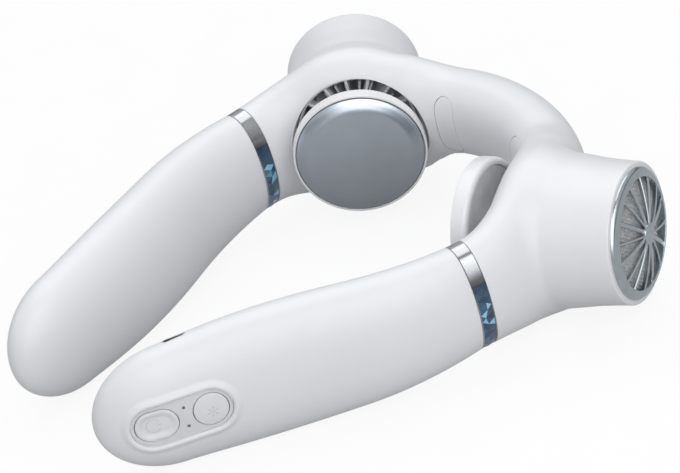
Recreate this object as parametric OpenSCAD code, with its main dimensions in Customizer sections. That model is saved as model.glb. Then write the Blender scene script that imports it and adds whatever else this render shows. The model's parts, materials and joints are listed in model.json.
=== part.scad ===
// Electric neck fan: a curved band behind the neck carries two fan pods with
// cooling discs, and two hollow arms run forward from it, one with the controls.
// X runs across the neck, -Y is the open front, and Z is up.

/* [Walls and fits] */
// Thickness of the white casing walls
wall = 1.8; // [1.4:0.1:2.2]
// Gap between pieces that slip into each other
slip_gap = 0.15; // [0.05:0.05:0.25]
// Gap around a button in its hole
button_gap = 0.3; // [0.2:0.05:0.45]
// Gap between a turning shaft and its bearing, on the radius
shaft_gap = 0.05; // [0.02:0.01:0.09]

/* [Pods] */
// Distance between the middles of the two cooling discs
disc_spacing = 84.6; // [80:0.5:92]
// How far each pod's axis is turned back from the X axis, in degrees
pod_turn = 31.8; // [28:0.2:36]
// Length of a pod from the front of its disc to its outer rim
pod_length = 66; // [64:0.5:70]
// Radius of the outer rim
rim_r = 27.5; // [27:0.1:28.5]
// Radius of the drum where it leaves the band
drum_r = 29.6; // [29:0.1:30.4]
// Radius of the swelling around the fan
bulge_r = 33; // [32.2:0.1:34]
// Radius of the lip around the air outlet
lip_r = 26.4; // [25.8:0.1:27]
// Distance of the lip behind the front of the disc
lip_back = 17.8; // [16.8:0.1:18.8]

/* [Cooling disc] */
// Outer radius of the white cup
cup_r = 27; // [26:0.1:28]
// Depth of the white cup
cup_depth = 6.6; // [6.1:0.1:7.6]
// Width of the cup's front edge around the plate
cup_edge = 0.9; // [0.7:0.1:1.2]
// Width of the cup's rear rim
cup_rear_rim = 3.1; // [2.8:0.1:3.9]
// Height of the plate's crown in front of the cup
plate_rise = 2.1; // [1.5:0.1:3]
// Width of the plate's rounded edge
plate_round = 4; // [3:0.1:5]
// Side of the square cooling element, as a share of the cup's radius
element_share = 1.11; // [1:0.01:1.14]
// Thickness of the cooling element
element_thick = 3.4; // [3:0.1:3.6]
// Radius of the heat spreader's stem
stem_r = 8.2; // [7.5:0.1:8.8]

/* [Fan] */
// Radius of the air duct round the impeller
duct_r = 22.6; // [22:0.1:23]
// Gap between the blade tips and the duct
blade_gap = 0.8; // [0.6:0.1:1.2]
// Radius of the impeller's hub
hub_r = 12; // [11.6:0.1:13]
// Length of the impeller along its axis
impeller_length = 12; // [10:0.5:13]
// Number of blades
blade_count = 9; // [7:1:11]
// Slant of the blades in degrees
blade_slant = 38; // [30:1:45]
// Radius of the motor shaft
shaft_r = 1; // [0.8:0.1:1.3]
// Number of outlet vanes
vane_count = 16; // [12:1:18]
// Number of heat sink fins
fin_count = 24; // [16:1:26]

/* [Intake] */
// Outer radius of the metal grille
grille_r = 25.6; // [25.2:0.05:26]
// Width of the grille's outer ring
grille_ring = 3.9; // [3.4:0.1:4.3]
// How far the grille stands out from the rim
grille_proud = 1.1; // [0.8:0.1:1.5]
// How much higher the grille's middle stands than its edge
grille_dome = 4.3; // [3:0.1:5]
// Radius of the disc in the middle of the grille
grille_hub_r = 4.2; // [3.6:0.1:5]
// Number of grille spokes of each of the two kinds
spoke_pairs = 8; // [6:1:9]
// Distance between the holes of the dust mesh
mesh_pitch = 2.8; // [2.8:0.1:3.4]
// Bar width between the holes of the dust mesh
mesh_bar = 0.7; // [0.5:0.1:1]

/* [Band] */
// Half the width of the band's curve
band_half_width = 56.3; // [54:0.5:60]
// Depth of the band's curve
band_depth = 36.2; // [34:0.5:40]
// Distance of the curve's middle behind the line of the discs
band_back = 12.3; // [11:0.5:14]
// Thickness of the band from the neck outwards
band_thick = 27.4; // [26:0.2:29]
// Height of the band
band_tall = 36.2; // [35:0.2:40]
// How much the middle of the band rises
band_rise = 2.8; // [1:0.1:4]
// Height of the casing round the pods
pod_tall = 63; // [60:0.5:64]
// Thickness of the casing at the pods
pod_thick = 28; // [27:0.2:29]

/* [Arms] */
// Distance of each arm joint from the middle plane
joint_x = 77.8; // [76:0.2:79]
// Distance of each arm joint in front of the line of the discs
joint_front = 33.5; // [32:0.2:36]
// Inward lean of the arm at the joint, in degrees
joint_lean = 5.2; // [4:0.2:8]
// Inward lean after the bend, in degrees
arm_lean = 26; // [23:0.5:28]
// Inward lean at the front, in degrees
tip_lean = 17.3; // [15:0.1:20]
// Length of the bend
bend_length = 46.7; // [44:0.1:50]
// Length of the nearly straight part
reach_length = 70.1; // [68:0.1:74]
// Length of the rounded end
cap_length = 31.4; // [29:0.2:33]
// Thickness of the arm at the joint
joint_thick = 24; // [23:0.2:25]
// Height of the arm at the joint
joint_tall = 45.4; // [44:0.2:47]
// Thickness of the arm at its widest
arm_thick = 28.6; // [27:0.2:30]
// Height of the arm at its highest
arm_tall = 54.2; // [53:0.2:54.6]
// Thickness of the arm where its end begins
end_thick = 26.6; // [26:0.2:28]
// Height of the arm where its end begins
end_tall = 50.4; // [49:0.2:51]
// How much lower the arms' centre line runs than the pods' axes
arm_drop = 1; // [0.5:0.1:1.5]
// How far the fan leans forward where it rests, in degrees
rest_pitch = 2.4; // [2.2:0.1:2.6]
// Depth of the flats that the fan rests on
rest_flat = 0.5; // [0.3:0.1:0.8]
// Width of the ring between arm and casing
ring_width = 5.9; // [5.5:0.1:6.5]

/* [Controls] */
// Distance of the control panel's middle from the joint
panel_at = 116.3; // [114:0.1:118]
// Length of the control panel
panel_length = 40; // [39:0.5:42]
// Height of the control panel
panel_tall = 17.6; // [17:0.2:18.6]
// Depth of the panel's face below the arm's surface
panel_depth = 0.9; // [0.6:0.1:1.2]
// Length of the power button
power_length = 16.8; // [15:0.2:17.2]
// Height of the power button
power_tall = 12.6; // [11:0.2:13]
// Diameter of the round mode button
mode_d = 13.6; // [12:0.2:13.8]
// Travel of the buttons
button_travel = 0.5; // [0.3:0.1:0.6]
// Distance of the socket from the joint
socket_at = 109; // [106:0.5:111]

/* [Hidden] */
$fn = 64;
// Overrun of every cut past the face that it opens
cut = 1;
white = [0.93, 0.94, 0.95];
board_green = [0.1, 0.35, 0.22];
radian = 180 / PI;

// Small helpers: easing from 0 to 1, blending, and points of a rounded oval
// whose corners are a little fuller than an ellipse's.
squareness = 2.15;
section_sides = 28;
function ease(x) = let(c = min(1, max(0, x))) c * c * (3 - 2 * c);
function blend(a, b, x) = a + (b - a) * x;
function rounded(x) = sign(x) * pow(abs(x), 2 / squareness);
function oval(half_w, half_t, sides) = [
    for (i = [0:sides - 1])
        let(a = 360 * i / sides)
        [half_w * rounded(cos(a)), half_t * rounded(sin(a))]];
function lifted(outline, centre, side_dir) = [
    for (p = outline)
        [centre[0] + side_dir[0] * p[0], centre[1] + side_dir[1] * p[0], centre[2] + p[1]]];

// Arm: the centre line bends inwards along an arc and comes back along a
// flatter one. Lengths are measured from the joint towards the front.
body_length = bend_length + reach_length;
bend_rate = (arm_lean - joint_lean) / bend_length;
reach_rate = (tip_lean - arm_lean) / reach_length;
function lean(s) =
    s < 0 ? joint_lean
    : s < bend_length ? joint_lean + bend_rate * s
    : s < body_length ? arm_lean + reach_rate * (s - bend_length)
    : tip_lean;
function arc_step(from_lean, to_lean, rate) = [
    (cos(to_lean) - cos(from_lean)) * radian / rate,
    -(sin(to_lean) - sin(from_lean)) * radian / rate];
function straight_step(at_lean, s) = [-sin(at_lean) * s, -cos(at_lean) * s];
function arm_point(s) =
    let(start = [joint_x, -joint_front])
    s < 0 ? start + straight_step(joint_lean, s)
    : start
        + arc_step(joint_lean, lean(min(s, bend_length)), bend_rate)
        + (s > bend_length
            ? arc_step(arm_lean, lean(min(s, body_length)), reach_rate) : [0, 0])
        + (s > body_length ? straight_step(tip_lean, s - body_length) : [0, 0]);
function side_dir(a) = [cos(a), -sin(a)];
drop_share = 0.6;
function drop(s) = -arm_drop * sin(90 * min(1, max(0, s / (drop_share * body_length))));

// The arm swells up to widest_share of its body and narrows again.
widest_share = 0.65;
function swell(joint, widest, end, s) =
    let(x = min(1, max(0, s / body_length)))
    x < widest_share
        ? blend(joint, widest, sin(90 * x / widest_share))
        : blend(widest, end, 1 - cos(90 * (x - widest_share) / (1 - widest_share)));
function arm_half_w(s) = swell(joint_thick, arm_thick, end_thick, s) / 2;
function arm_half_t(s) = swell(joint_tall, arm_tall, end_tall, s) / 2;
body_steps = 17;
cap_steps = 9;
cap_last_angle = 86;
function arm_rings(inset) = concat(
    [for (i = [(inset > 0 ? -1 : 0):body_steps])
        let(s = i < 0 ? -cut : body_length * i / body_steps)
        lifted(oval(arm_half_w(s) - inset, arm_half_t(s) - inset, section_sides),
            [each arm_point(s), drop(s)], side_dir(lean(s)))],
    [for (i = [1:cap_steps])
        let(a = cap_last_angle * i / cap_steps,
            s = body_length + (cap_length - inset) * sin(a))
        lifted(oval((end_thick / 2 - inset) * cos(a), (end_tall / 2 - inset) * cos(a),
            section_sides), [each arm_point(s), drop(s)], side_dir(tip_lean))]);

// Casing: from the middle of the band the centre line follows a half ellipse
// and then a smooth curve past the pod to the joint. Shares are counted from
// the middle of the band, 0, to the joint, 1.
join_angle = 35;
curve_pull = 24;
band_steps = 9;
neck_steps = 11;
curve_share = 0.5;
band_end_share = 0.28;
pod_share = 0.7;
neck_end = [joint_x, -joint_front] + straight_step(joint_lean, -ring_width);
function ellipse_point(a) = [
    band_half_width * cos(a), band_back + band_depth * sin(a), band_rise * sin(a)];
function unit(v) = v / norm(v);
function neck_curve(x) =
    let(start = ellipse_point(join_angle),
        run = unit([band_half_width * sin(join_angle), -band_depth * cos(join_angle)]),
        b = [start[0], start[1]] + run * curve_pull,
        c = neck_end + straight_step(joint_lean, -curve_pull),
        w = 1 - x)
    [each (w * w * w * [start[0], start[1]] + 3 * w * w * x * b
        + 3 * w * x * x * c + x * x * x * neck_end), start[2] * w * w];
function neck_run(x) =
    let(start = ellipse_point(join_angle),
        run = unit([band_half_width * sin(join_angle), -band_depth * cos(join_angle)]),
        b = [start[0], start[1]] + run * curve_pull,
        c = neck_end + straight_step(joint_lean, -curve_pull),
        w = 1 - x)
    unit(w * w * (b - [start[0], start[1]]) + 2 * w * x * (c - b) + x * x * (neck_end - c));
function band_run(a) = unit([band_half_width * sin(a), -band_depth * cos(a)]);
function casing_size(band, pod, joint, u) =
    u < band_end_share ? band
    : u < pod_share ? blend(band, pod, ease((u - band_end_share) / (pod_share - band_end_share)))
    : blend(pod, joint, ease((u - pod_share) / (1 - pod_share)));
function casing_half_w(u) = casing_size(band_thick, pod_thick, joint_thick, u) / 2;
function casing_half_t(u) = casing_size(band_tall, pod_tall, joint_tall, u) / 2;
// Each station holds its share, its centre and the direction of the run there.
half_stations = concat(
    [for (i = [0:band_steps])
        let(a = blend(90, join_angle, i / band_steps))
        [curve_share * i / band_steps, ellipse_point(a), band_run(a)]],
    [for (i = [1:neck_steps])
        let(x = i / neck_steps)
        [blend(curve_share, 1, x), neck_curve(x), neck_run(x)]]);
function mirrored(st) = [st[0], [-st[1][0], st[1][1], st[1][2]], [st[2][0], -st[2][1]]];
stations = concat(
    [for (i = [len(half_stations) - 1:-1:1]) mirrored(half_stations[i])], half_stations);
function station_ring(st, inset, sides) =
    lifted(oval(casing_half_w(st[0]) - inset, casing_half_t(st[0]) - inset, sides),
        st[1], [-st[2][1], st[2][0]]);
function moved_on(st, s) = [st[0], [st[1][0] + st[2][0] * s, st[1][1] + st[2][1] * s, st[1][2]], st[2]];
function casing_rings(inset) = [for (st = stations) station_ring(st, inset, section_sides)];
casing_inner_rings = [
    for (st = concat(
        [moved_on(stations[0], -cut)], stations, [moved_on(stations[len(stations) - 1], cut)]))
        station_ring(st, wall, section_sides)];
function band_rings(inset) = [
    for (st = stations) if (st[0] <= curve_share) station_ring(st, inset, section_sides)];

// Frame: the pods' axes lie level before the fan leans forward to rest, and the
// model is shifted so that its box stands centred on the origin.
function leaned(p) = [
    p[0], p[1] * cos(rest_pitch) - p[2] * sin(rest_pitch),
    p[1] * sin(rest_pitch) + p[2] * cos(rest_pitch)];
rim_edge = [
    for (i = [0:section_sides * 4])
        let(a = 90 * i / section_sides)
        leaned([0, pod_length * sin(pod_turn) + rim_r * cos(a) * cos(pod_turn), rim_r * sin(a)])];
grille_edge = [
    for (i = [0:section_sides * 4])
        let(a = 90 * i / section_sides)
        leaned([0, (pod_length + grille_proud) * sin(pod_turn)
            + grille_r * cos(a) * cos(pod_turn), grille_r * sin(a)])];
band_edge = [for (p = station_ring(half_stations[0], 0, section_sides)) leaned(p)];
arm_edge = [for (ring = arm_rings(0), p = ring) leaned(p)];
back_y = max([for (p = concat(rim_edge, grille_edge, band_edge)) p[1]]);
front_y = min([for (p = arm_edge) p[1]]);
middle_y = (back_y + front_y) / 2;
axis_z = -min([for (p = arm_edge) p[2]]) - rest_flat;

// A closed skin through rings of equal count, with flat ends
module loft(rings) {
    n = len(rings[0]);
    last = len(rings) - 1;
    polyhedron(
        points = [for (ring = rings) each ring],
        faces = concat(
            [[for (i = [0:n - 1]) i]],
            [for (k = [0:last - 1], i = [0:n - 1])
                let(j = (i + 1) % n) each [
                    [k * n + i, (k + 1) * n + j, k * n + j],
                    [k * n + i, (k + 1) * n + i, (k + 1) * n + j]]],
            [[for (i = [n - 1:-1:0]) last * n + i]]));
}

// Places: the whole fan in its frame, a pod's own axis, which runs outwards
// from the front of its disc, and a place on the arm with its axis outwards.
module placed() {
    translate([0, -middle_y, axis_z]) rotate([rest_pitch, 0, 0]) children();
}
module on_side(side) {
    placed()
        if (side < 0) mirror([1, 0, 0]) children();
        else children();
}
module in_pod(side) {
    on_side(side)
        translate([disc_spacing / 2, 0, 0])
        rotate([0, 0, pod_turn])
        rotate([0, 90, 0]) children();
}
module at_joint(side) {
    on_side(side)
        translate([joint_x, -joint_front, 0])
        rotate([0, 0, -joint_lean]) rotate([90, 0, 0]) children();
}
module ring_of(count) {
    for (i = [0:count - 1]) rotate([0, 0, 360 * i / count]) children();
}
module tube(outer, inner, from, to) {
    translate([0, 0, from])
        difference() {
            cylinder(r = outer, h = to - from);
            translate([0, 0, -cut]) cylinder(r = inner, h = to - from + 2 * cut);
        }
}
module disc(radius, from, to) {
    translate([0, 0, from]) cylinder(r = radius, h = to - from);
}
module taper(first_r, last_r, from, to) {
    translate([0, 0, from]) cylinder(r1 = first_r, r2 = last_r, h = to - from);
}
// A flat outline with two half round ends, lying or standing
module stadium(length, height) {
    end_d = min(length, height);
    for (side = [-1, 1])
        translate([side * (length - end_d) / 2, side * (height - end_d) / 2]) circle(d = end_d);
    square(length > height ? [length - height, height] : [length, height - length], center = true);
}
module stadium_bar(length, height, from, to) {
    translate([0, 0, from]) linear_extrude(to - from) union() stadium(length, height);
}
module rounded_slab(length, width, corner) {
    square([length - 2 * corner, width], center = true);
    square([length, width - 2 * corner], center = true);
    for (x = [-1, 1], y = [-1, 1])
        translate([x * (length / 2 - corner), y * (width / 2 - corner)]) circle(r = corner);
}
// Everything under the plane that the fan rests on
floor_size = 400;
module below_floor() {
    translate([-floor_size / 2, -floor_size / 2, -floor_size]) cube(floor_size);
}

// Pod walls, as radius and distance behind the front of the disc
lip_round = 2.4;
bulge_share = 0.424;
crease_share = 0.576;
bulge_at = pod_length * bulge_share;
crease_at = pod_length * crease_share;
crease_drop = 2.6;
crease_r = bulge_r - crease_drop;
rim_round = 0.8;
seat_ledge = 0.7;
vane_depth = 5;
vane_sunk = 0.6;
vane_from = lip_back + vane_sunk;
shoulder_at = vane_from + vane_depth;
duct_share = 0.7575;
duct_end = pod_length * duct_share;
cup_clearance = 1;
mouth_r = cup_r + cup_clearance;
mouth_from = cup_depth + cup_clearance;
seat_r = rim_r - wall - seat_ledge;
lip_shares = [0.75, 0.5];
bulge_shares = [0.4, 0.6];
drum_shares = [[0, 0.2], [0.6, 0.5], [0.9, 0.8]];
pod_start = 37;
cavity_first = 3;
cavity_last = 6;
pod_profile = concat(
    [[lip_r, lip_back], [lip_r + lip_round, lip_back + lip_round],
        [blend(lip_r, bulge_r, lip_shares[0]), blend(lip_back, bulge_at, lip_shares[1])],
        [bulge_r, bulge_at],
        [blend(bulge_r, crease_r, bulge_shares[0]), blend(bulge_at, crease_at, bulge_shares[1])],
        [crease_r, crease_at]],
    [for (sh = drum_shares)
        [blend(drum_r, rim_r, sh[0]), blend(crease_at, pod_length, sh[1])]],
    [[rim_r, pod_length - rim_round], [rim_r - rim_round, pod_length]]);
module pod_outside() {
    rotate([0, 0, pod_start]) rotate_extrude() polygon(concat([[0, lip_back]], pod_profile, [[0, pod_length]]));
}
module pod_cavity() {
    rotate([0, 0, pod_start])
        rotate_extrude()
        polygon(concat(
            [[duct_r, shoulder_at + wall],
                [pod_profile[cavity_first - 1][0] - 2 * wall, shoulder_at + wall]],
            [for (i = [cavity_first:cavity_last]) [pod_profile[i][0] - wall, pod_profile[i][1]]],
            [[duct_r, duct_end - wall]]));
}

// Cover: a curved strip in the underside of the band, held by two screws that
// reach up into pillars.
cover_half = 7;
cover_end_angle = 42;
cover_gap_angle = slip_gap * radian / band_depth;
cover_steps = 12;
cover_top = -10;
boss_r = 3;
boss_angle = 55;
boss_joint_z = -12;
screw_r = 1.1;
screw_gap = 0.05;
screw_clearance = 0.2;
screw_head_r = 2;
screw_head = 1.3;
screw_bite = 8;
slot_width = 0.6;
slot_depth = 0.6;
boss_place = ellipse_point(boss_angle);
head_seat_z = boss_place[2] - band_tall / 2 + screw_head + slip_gap;
function cover_edge(half, end_angle, i) =
    let(a = blend(end_angle, 180 - end_angle, i / cover_steps),
        p = ellipse_point(a),
        run = band_run(a))
    [p[0] - run[1] * half, p[1] + run[0] * half];
module cover_column(half, end_angle) {
    translate([0, 0, -band_tall])
        linear_extrude(band_tall + cover_top)
        polygon(concat(
            [for (i = [0:cover_steps]) cover_edge(half, end_angle, i)],
            [for (i = [cover_steps:-1:0]) cover_edge(-half, end_angle, i)]));
}
module at_bosses() {
    for (side = [-1, 1]) translate([side * boss_place[0], boss_place[1], 0]) children();
}

// Inlays: two upright pads let into the inner face of the band
inlay_wide = 8.8;
inlay_tall = 26;
inlay_depth = 0.8;
inlay_gap = 0.1;
inlay_at = 5;
inlay_reach = 2;
function inlay_rings(inset) = [
    for (i = [inlay_at - inlay_reach:inlay_at + inlay_reach])
        station_ring(half_stations[i], inset, section_sides)];
module inlay_bar(gap) {
    st = half_stations[inlay_at];
    translate(st[1])
        rotate([0, 0, atan2(st[2][1], st[2][0])]) rotate([90, 0, 0])
        stadium_bar(inlay_wide + 2 * gap, inlay_tall + 2 * gap, 0, band_thick);
}
module band_inlay(side) {
    color(white)
        on_side(side)
        difference() {
            intersection() {
                loft(inlay_rings(0));
                inlay_bar(0);
            }
            loft(inlay_rings(inlay_depth));
        }
}

module neck_shell() {
    color(white)
        difference() {
            union() {
                difference() {
                    union() {
                        placed() loft(casing_rings(0));
                        for (side = [-1, 1]) in_pod(side) pod_outside();
                    }
                    difference() {
                        union() {
                            placed() loft(casing_inner_rings);
                            for (side = [-1, 1]) in_pod(side) pod_cavity();
                        }
                        for (side = [-1, 1])
                            in_pod(side) {
                                taper(mouth_r + wall, lip_r, mouth_from, lip_back);
                                disc(lip_r, lip_back - cut, shoulder_at);
                                disc(duct_r + wall, lip_back, duct_end + cut);
                            }
                    }
                    placed() cover_column(cover_half, cover_end_angle);
                }
                placed() at_bosses()
                    disc(boss_r, boss_joint_z, boss_place[2] + (band_tall - wall) / 2);
            }
            for (side = [-1, 1]) {
                in_pod(side) {
                    disc(mouth_r, -cut, mouth_from);
                    taper(mouth_r, lip_r - wall, mouth_from - cut, lip_back);
                    disc(lip_r - wall, -cut, shoulder_at);
                    disc(duct_r, shoulder_at - cut, pod_length);
                    disc(seat_r, duct_end, pod_length + cut);
                }
                on_side(side)
                    difference() {
                        inlay_bar(inlay_gap);
                        loft(inlay_rings(inlay_depth));
                    }
            }
            placed() at_bosses()
                disc(screw_r + screw_gap, boss_joint_z - cut, head_seat_z + screw_bite + cut);
            below_floor();
        }
}
module neck_cover() {
    color(white)
        placed()
        difference() {
            union() {
                intersection() {
                    difference() {
                        loft(band_rings(0));
                        loft(band_rings(wall));
                    }
                    cover_column(cover_half - slip_gap, cover_end_angle + cover_gap_angle);
                }
                at_bosses() disc(boss_r, boss_place[2] + (wall - band_tall) / 2, boss_joint_z);
            }
            at_bosses() {
                disc(screw_r + screw_clearance, -band_tall, boss_joint_z + cut);
                disc(screw_head_r + slip_gap, -band_tall, head_seat_z);
            }
        }
}
module neck_cover_screws() {
    color([0.7, 0.71, 0.73])
        placed()
        at_bosses()
        difference() {
            union() {
                disc(screw_r, head_seat_z - screw_head, head_seat_z + screw_bite);
                disc(screw_head_r, head_seat_z - screw_head, head_seat_z);
            }
            translate([-screw_head_r - cut, -slot_width / 2, head_seat_z - screw_head - cut])
                cube([2 * (screw_head_r + cut), slot_width, slot_depth + cut]);
        }
}

// Looms: bundles of wire along the back of the band and into the arms
loom_r = 1.5;
loom_gap = 0.3;
loom_sides = 8;
loom_outline = [
    for (i = [0:loom_sides - 1])
        let(a = 360 * i / loom_sides) [loom_r * cos(a), loom_r * sin(a)]];
module band_loom() {
    color([0.16, 0.16, 0.18])
        placed()
        loft([
            for (st = stations) if (st[0] <= curve_share)
                let(out = [-st[2][1], st[2][0]],
                    s = casing_half_w(st[0]) - wall - loom_gap - loom_r)
                lifted(loom_outline,
                    [st[1][0] + out[0] * s, st[1][1] + out[1] * s, st[1][2]], out)]);
}

// Trim ring: a bright oval ring between casing and arm, with a groove round its
// lower part for the light band
ring_sides = 56;
groove_depth = 1.2;
groove_lip = 0.6;
light_top = 10;
module joint_bar(inset, from, to) {
    translate([0, 0, from])
        linear_extrude(to - from)
        polygon(oval(joint_thick / 2 - inset, joint_tall / 2 - inset, ring_sides));
}
module light_space() {
    difference() {
        intersection() {
            joint_bar(0, groove_lip - ring_width, -groove_lip);
            translate([-joint_thick, -joint_tall, -ring_width])
                cube([2 * joint_thick, joint_tall + light_top, ring_width]);
        }
        joint_bar(groove_depth, -ring_width, 0);
    }
}
module trim_ring(side) {
    color([0.82, 0.84, 0.87])
        at_joint(side)
        difference() {
            joint_bar(0, -ring_width, 0);
            joint_bar(wall, -ring_width - cut, cut);
            light_space();
        }
}
module light_band(side) {
    color([0.55, 0.72, 0.95]) at_joint(side) light_space();
}

// Arm frame: an oval sleeve that bridges the joint, and a tray along the arm
sleeve_reach = 6;
sleeve_back = 1.5;
sleeve_wall = 1.6;
tray_z = -16;
tray_thick = 1.6;
tray_half = 5;
tray_end = 130;
tray_steps = 14;
tray_top = tray_z + tray_thick;
function tray_edge(half, i) =
    let(s = blend(0, tray_end, i / tray_steps)) arm_point(s) + side_dir(lean(s)) * half;
module sleeve() {
    difference() {
        joint_bar(wall + slip_gap, -ring_width - sleeve_back, sleeve_reach);
        intersection() {
            joint_bar(wall + slip_gap + sleeve_wall,
                -ring_width - sleeve_back - cut, sleeve_reach + cut);
            translate([-joint_thick, tray_top, -ring_width - sleeve_back - cut])
                cube([2 * joint_thick, joint_tall,
                    ring_width + sleeve_back + sleeve_reach + 2 * cut]);
        }
    }
}
module tray() {
    translate([0, 0, tray_z])
        linear_extrude(tray_thick)
        polygon(concat(
            [for (i = [0:tray_steps]) tray_edge(tray_half, i)],
            [for (i = [tray_steps:-1:0]) tray_edge(-tray_half, i)]));
}
module arm_frame(side) {
    color([0.86, 0.87, 0.88]) {
        at_joint(side) sleeve();
        on_side(side) tray();
        if (side > 0)
            on_side(side)
                difference() {
                    translate([each arm_point(socket_at), tray_z])
                        rotate([0, 0, -lean(socket_at)])
                        translate([-post_side, -post_length / 2, 0])
                        cube([post_thick, post_length, arm_tall]);
                    socket_place()
                        translate([-arm_tall / 2, -arm_tall / 2, -usb_board_low])
                        cube(arm_tall);
                }
    }
}

// Battery: a flat cell with rounded ends that stands on the tray
battery_from = 25;
battery_length = 58;
battery_thick = 10;
battery_tall = 28;
battery_corner = 2.5;
module battery(side) {
    a = arm_point(battery_from);
    b = arm_point(battery_from + battery_length);
    color([0.25, 0.42, 0.7])
        on_side(side)
        translate([each (a + b) / 2, tray_top])
        rotate([0, 0, atan2(b[1] - a[1], b[0] - a[0])])
        linear_extrude(battery_tall)
        rounded_slab(battery_length, battery_thick, battery_corner);
}
loom_lift = 0.2;
loom_steps = 8;
loom_end_gap = 1;
module arm_loom(side) {
    color([0.16, 0.16, 0.18])
        on_side(side)
        loft([
            for (i = [0:loom_steps])
                let(s = blend(-ring_width - sleeve_reach, battery_from - loom_end_gap,
                        i / loom_steps))
                lifted(loom_outline, [each arm_point(s), tray_top + loom_r + loom_lift],
                    side_dir(lean(s)))]);
}

// Grille: a low metal dome. Its ring and its middle are highest, thin spokes
// reach almost as high, and broad ones lie a little lower between them.
skirt_wall = 0.9;
broad_spoke = 1.8;
broad_sunk = 0.6;
thin_spoke = 1;
thin_sunk = 0.15;
spoke_depth = 1.7;
hub_depth = 2.4;
skirt_share = 0.8;
mesh_thick = 0.9;
mesh_sunk = 2;
mesh_front = pod_length - mesh_sunk;
mesh_margin = 3;
mesh_flange = 1.2;
spoke_share = 0.31;
dome_steps = 8;
// A shell whose upper side is a parabola with the given rim radius and height
module dome(rim_radius, height, from_r, to_r, top, thick) {
    points = [
        for (i = [0:dome_steps])
            let(r = blend(from_r, to_r, i / dome_steps))
            [r, top + height * (1 - pow(r / rim_radius, 2))]];
    rotate_extrude()
        polygon(concat(points,
            [for (i = [dome_steps:-1:0]) [points[i][0], points[i][1] - thick]]));
}
module intake_grille(side) {
    ring_r = grille_r - grille_ring;
    spoke_end = ring_r + grille_ring * spoke_share;
    top = pod_length + grille_proud;
    skirt_r = seat_r - slip_gap;
    color([0.6, 0.66, 0.74])
        in_pod(side) {
            dome(grille_r, grille_dome, ring_r, grille_r, top, grille_proud);
            tube(skirt_r, skirt_r - skirt_wall, mesh_front,
                pod_length + grille_proud * skirt_share);
            dome(grille_r, grille_dome, 0, grille_hub_r, top, hub_depth);
            intersection() {
                dome(grille_r, grille_dome, 0, spoke_end, top - broad_sunk,
                    spoke_depth - broad_sunk);
                spokes(spoke_end + cut, broad_spoke);
            }
            intersection() {
                dome(grille_r, grille_dome, 0, spoke_end, top - thin_sunk, spoke_depth);
                rotate([0, 0, 180 / spoke_pairs]) spokes(spoke_end + cut, thin_spoke);
            }
        }
}
module spokes(length, width) {
    ring_of(spoke_pairs)
        translate([0, -width / 2, mesh_front])
        cube([length, width, mesh_sunk + grille_proud + grille_dome]);
}
module intake_mesh(side) {
    hole_limit = seat_r - mesh_margin;
    rows = floor(hole_limit / (mesh_pitch * cos(30)));
    columns = floor(hole_limit / mesh_pitch);
    mesh_r = seat_r - slip_gap;
    color([0.55, 0.56, 0.58])
        in_pod(side)
        difference() {
            union() {
                dome(mesh_r, grille_dome, 0, mesh_r, mesh_front, mesh_thick);
                tube(mesh_r, mesh_r - mesh_flange, mesh_front - mesh_thick, mesh_front);
            }
            translate([0, 0, mesh_front - mesh_thick - cut])
                linear_extrude(mesh_thick + grille_dome + 2 * cut)
                for (row = [-rows:rows], column = [-columns:columns]) {
                    x = mesh_pitch * (column + abs(row % 2) / 2);
                    y = mesh_pitch * cos(30) * row;
                    if (norm([x, y]) < hole_limit)
                        translate([x, y]) rotate(30)
                            circle(d = (mesh_pitch - mesh_bar) / cos(30), $fn = 6);
                }
            tube(seat_r, mesh_r - skirt_wall - slip_gap, mesh_front, pod_length);
        }
}

// Motor: the bracket stands on the shoulder at the end of the duct and carries
// the stator; the can turns round it with the impeller pressed over it.
bracket_wall = 1.9;
bracket_disc_r = 11;
bracket_thick = 2;
bracket_rib = 3;
bracket_rib_share = 0.7;
bracket_ribs = 3;
impeller_past_duct = 3;
impeller_from = duct_end + impeller_past_duct - impeller_length;
stator_gap = 3;
stator_back = impeller_from + impeller_length + stator_gap;
bracket_rib_tall = (mesh_front - mesh_thick - stator_back) * bracket_rib_share;
stator_base_r = 8;
stator_base = 1.5;
bearing_r = 2.6;
core_r = 8.2;
core_length = 6;
core_to = stator_back - stator_gap;
core_from = core_to - core_length;
core_hub_r = 4;
pole_count = 6;
pole_width = 2;
shoe_thick = 1.2;
shoe_width = 6;
can_r = 10;
can_wall = 0.8;
can_length = 10.5;
can_top = 1;
can_gap = 2;
can_to = stator_back - can_gap;
can_from = can_to - can_length;
shaft_end_gap = 0.3;
shaft_end_back = 1;
shaft_end = stator_back - shaft_end_back;
hub_gap = 0.05;
hub_cap = 1.5;
hub_cap_from = can_from - hub_cap;
blade_thick = 1.2;
blade_root = 0.5;
module motor_bracket(side) {
    color([0.82, 0.83, 0.84])
        in_pod(side) {
            tube(seat_r - slip_gap, seat_r - slip_gap - bracket_wall, duct_end,
                mesh_front - mesh_thick);
            disc(bracket_disc_r, stator_back, stator_back + bracket_thick);
            ring_of(bracket_ribs)
                translate([0, -bracket_rib / 2, stator_back])
                cube([seat_r - slip_gap - bracket_wall / 2, bracket_rib, bracket_rib_tall]);
        }
}
module motor_stator(side) {
    color([0.72, 0.5, 0.3])
        in_pod(side)
        difference() {
            union() {
                disc(stator_base_r, stator_back - stator_base, stator_back);
                disc(bearing_r, core_from, stator_back);
                disc(core_hub_r, core_from, core_to);
                intersection() {
                    disc(core_r, core_from, core_to);
                    ring_of(pole_count) {
                        translate([0, -pole_width / 2, core_from])
                            cube([core_r, pole_width, core_to - core_from]);
                        translate([core_r - shoe_thick, -shoe_width / 2, core_from])
                            cube([shoe_thick, shoe_width, core_to - core_from]);
                    }
                }
            }
            disc(shaft_r + shaft_gap, core_from - cut, shaft_end + shaft_end_gap);
        }
}
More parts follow.
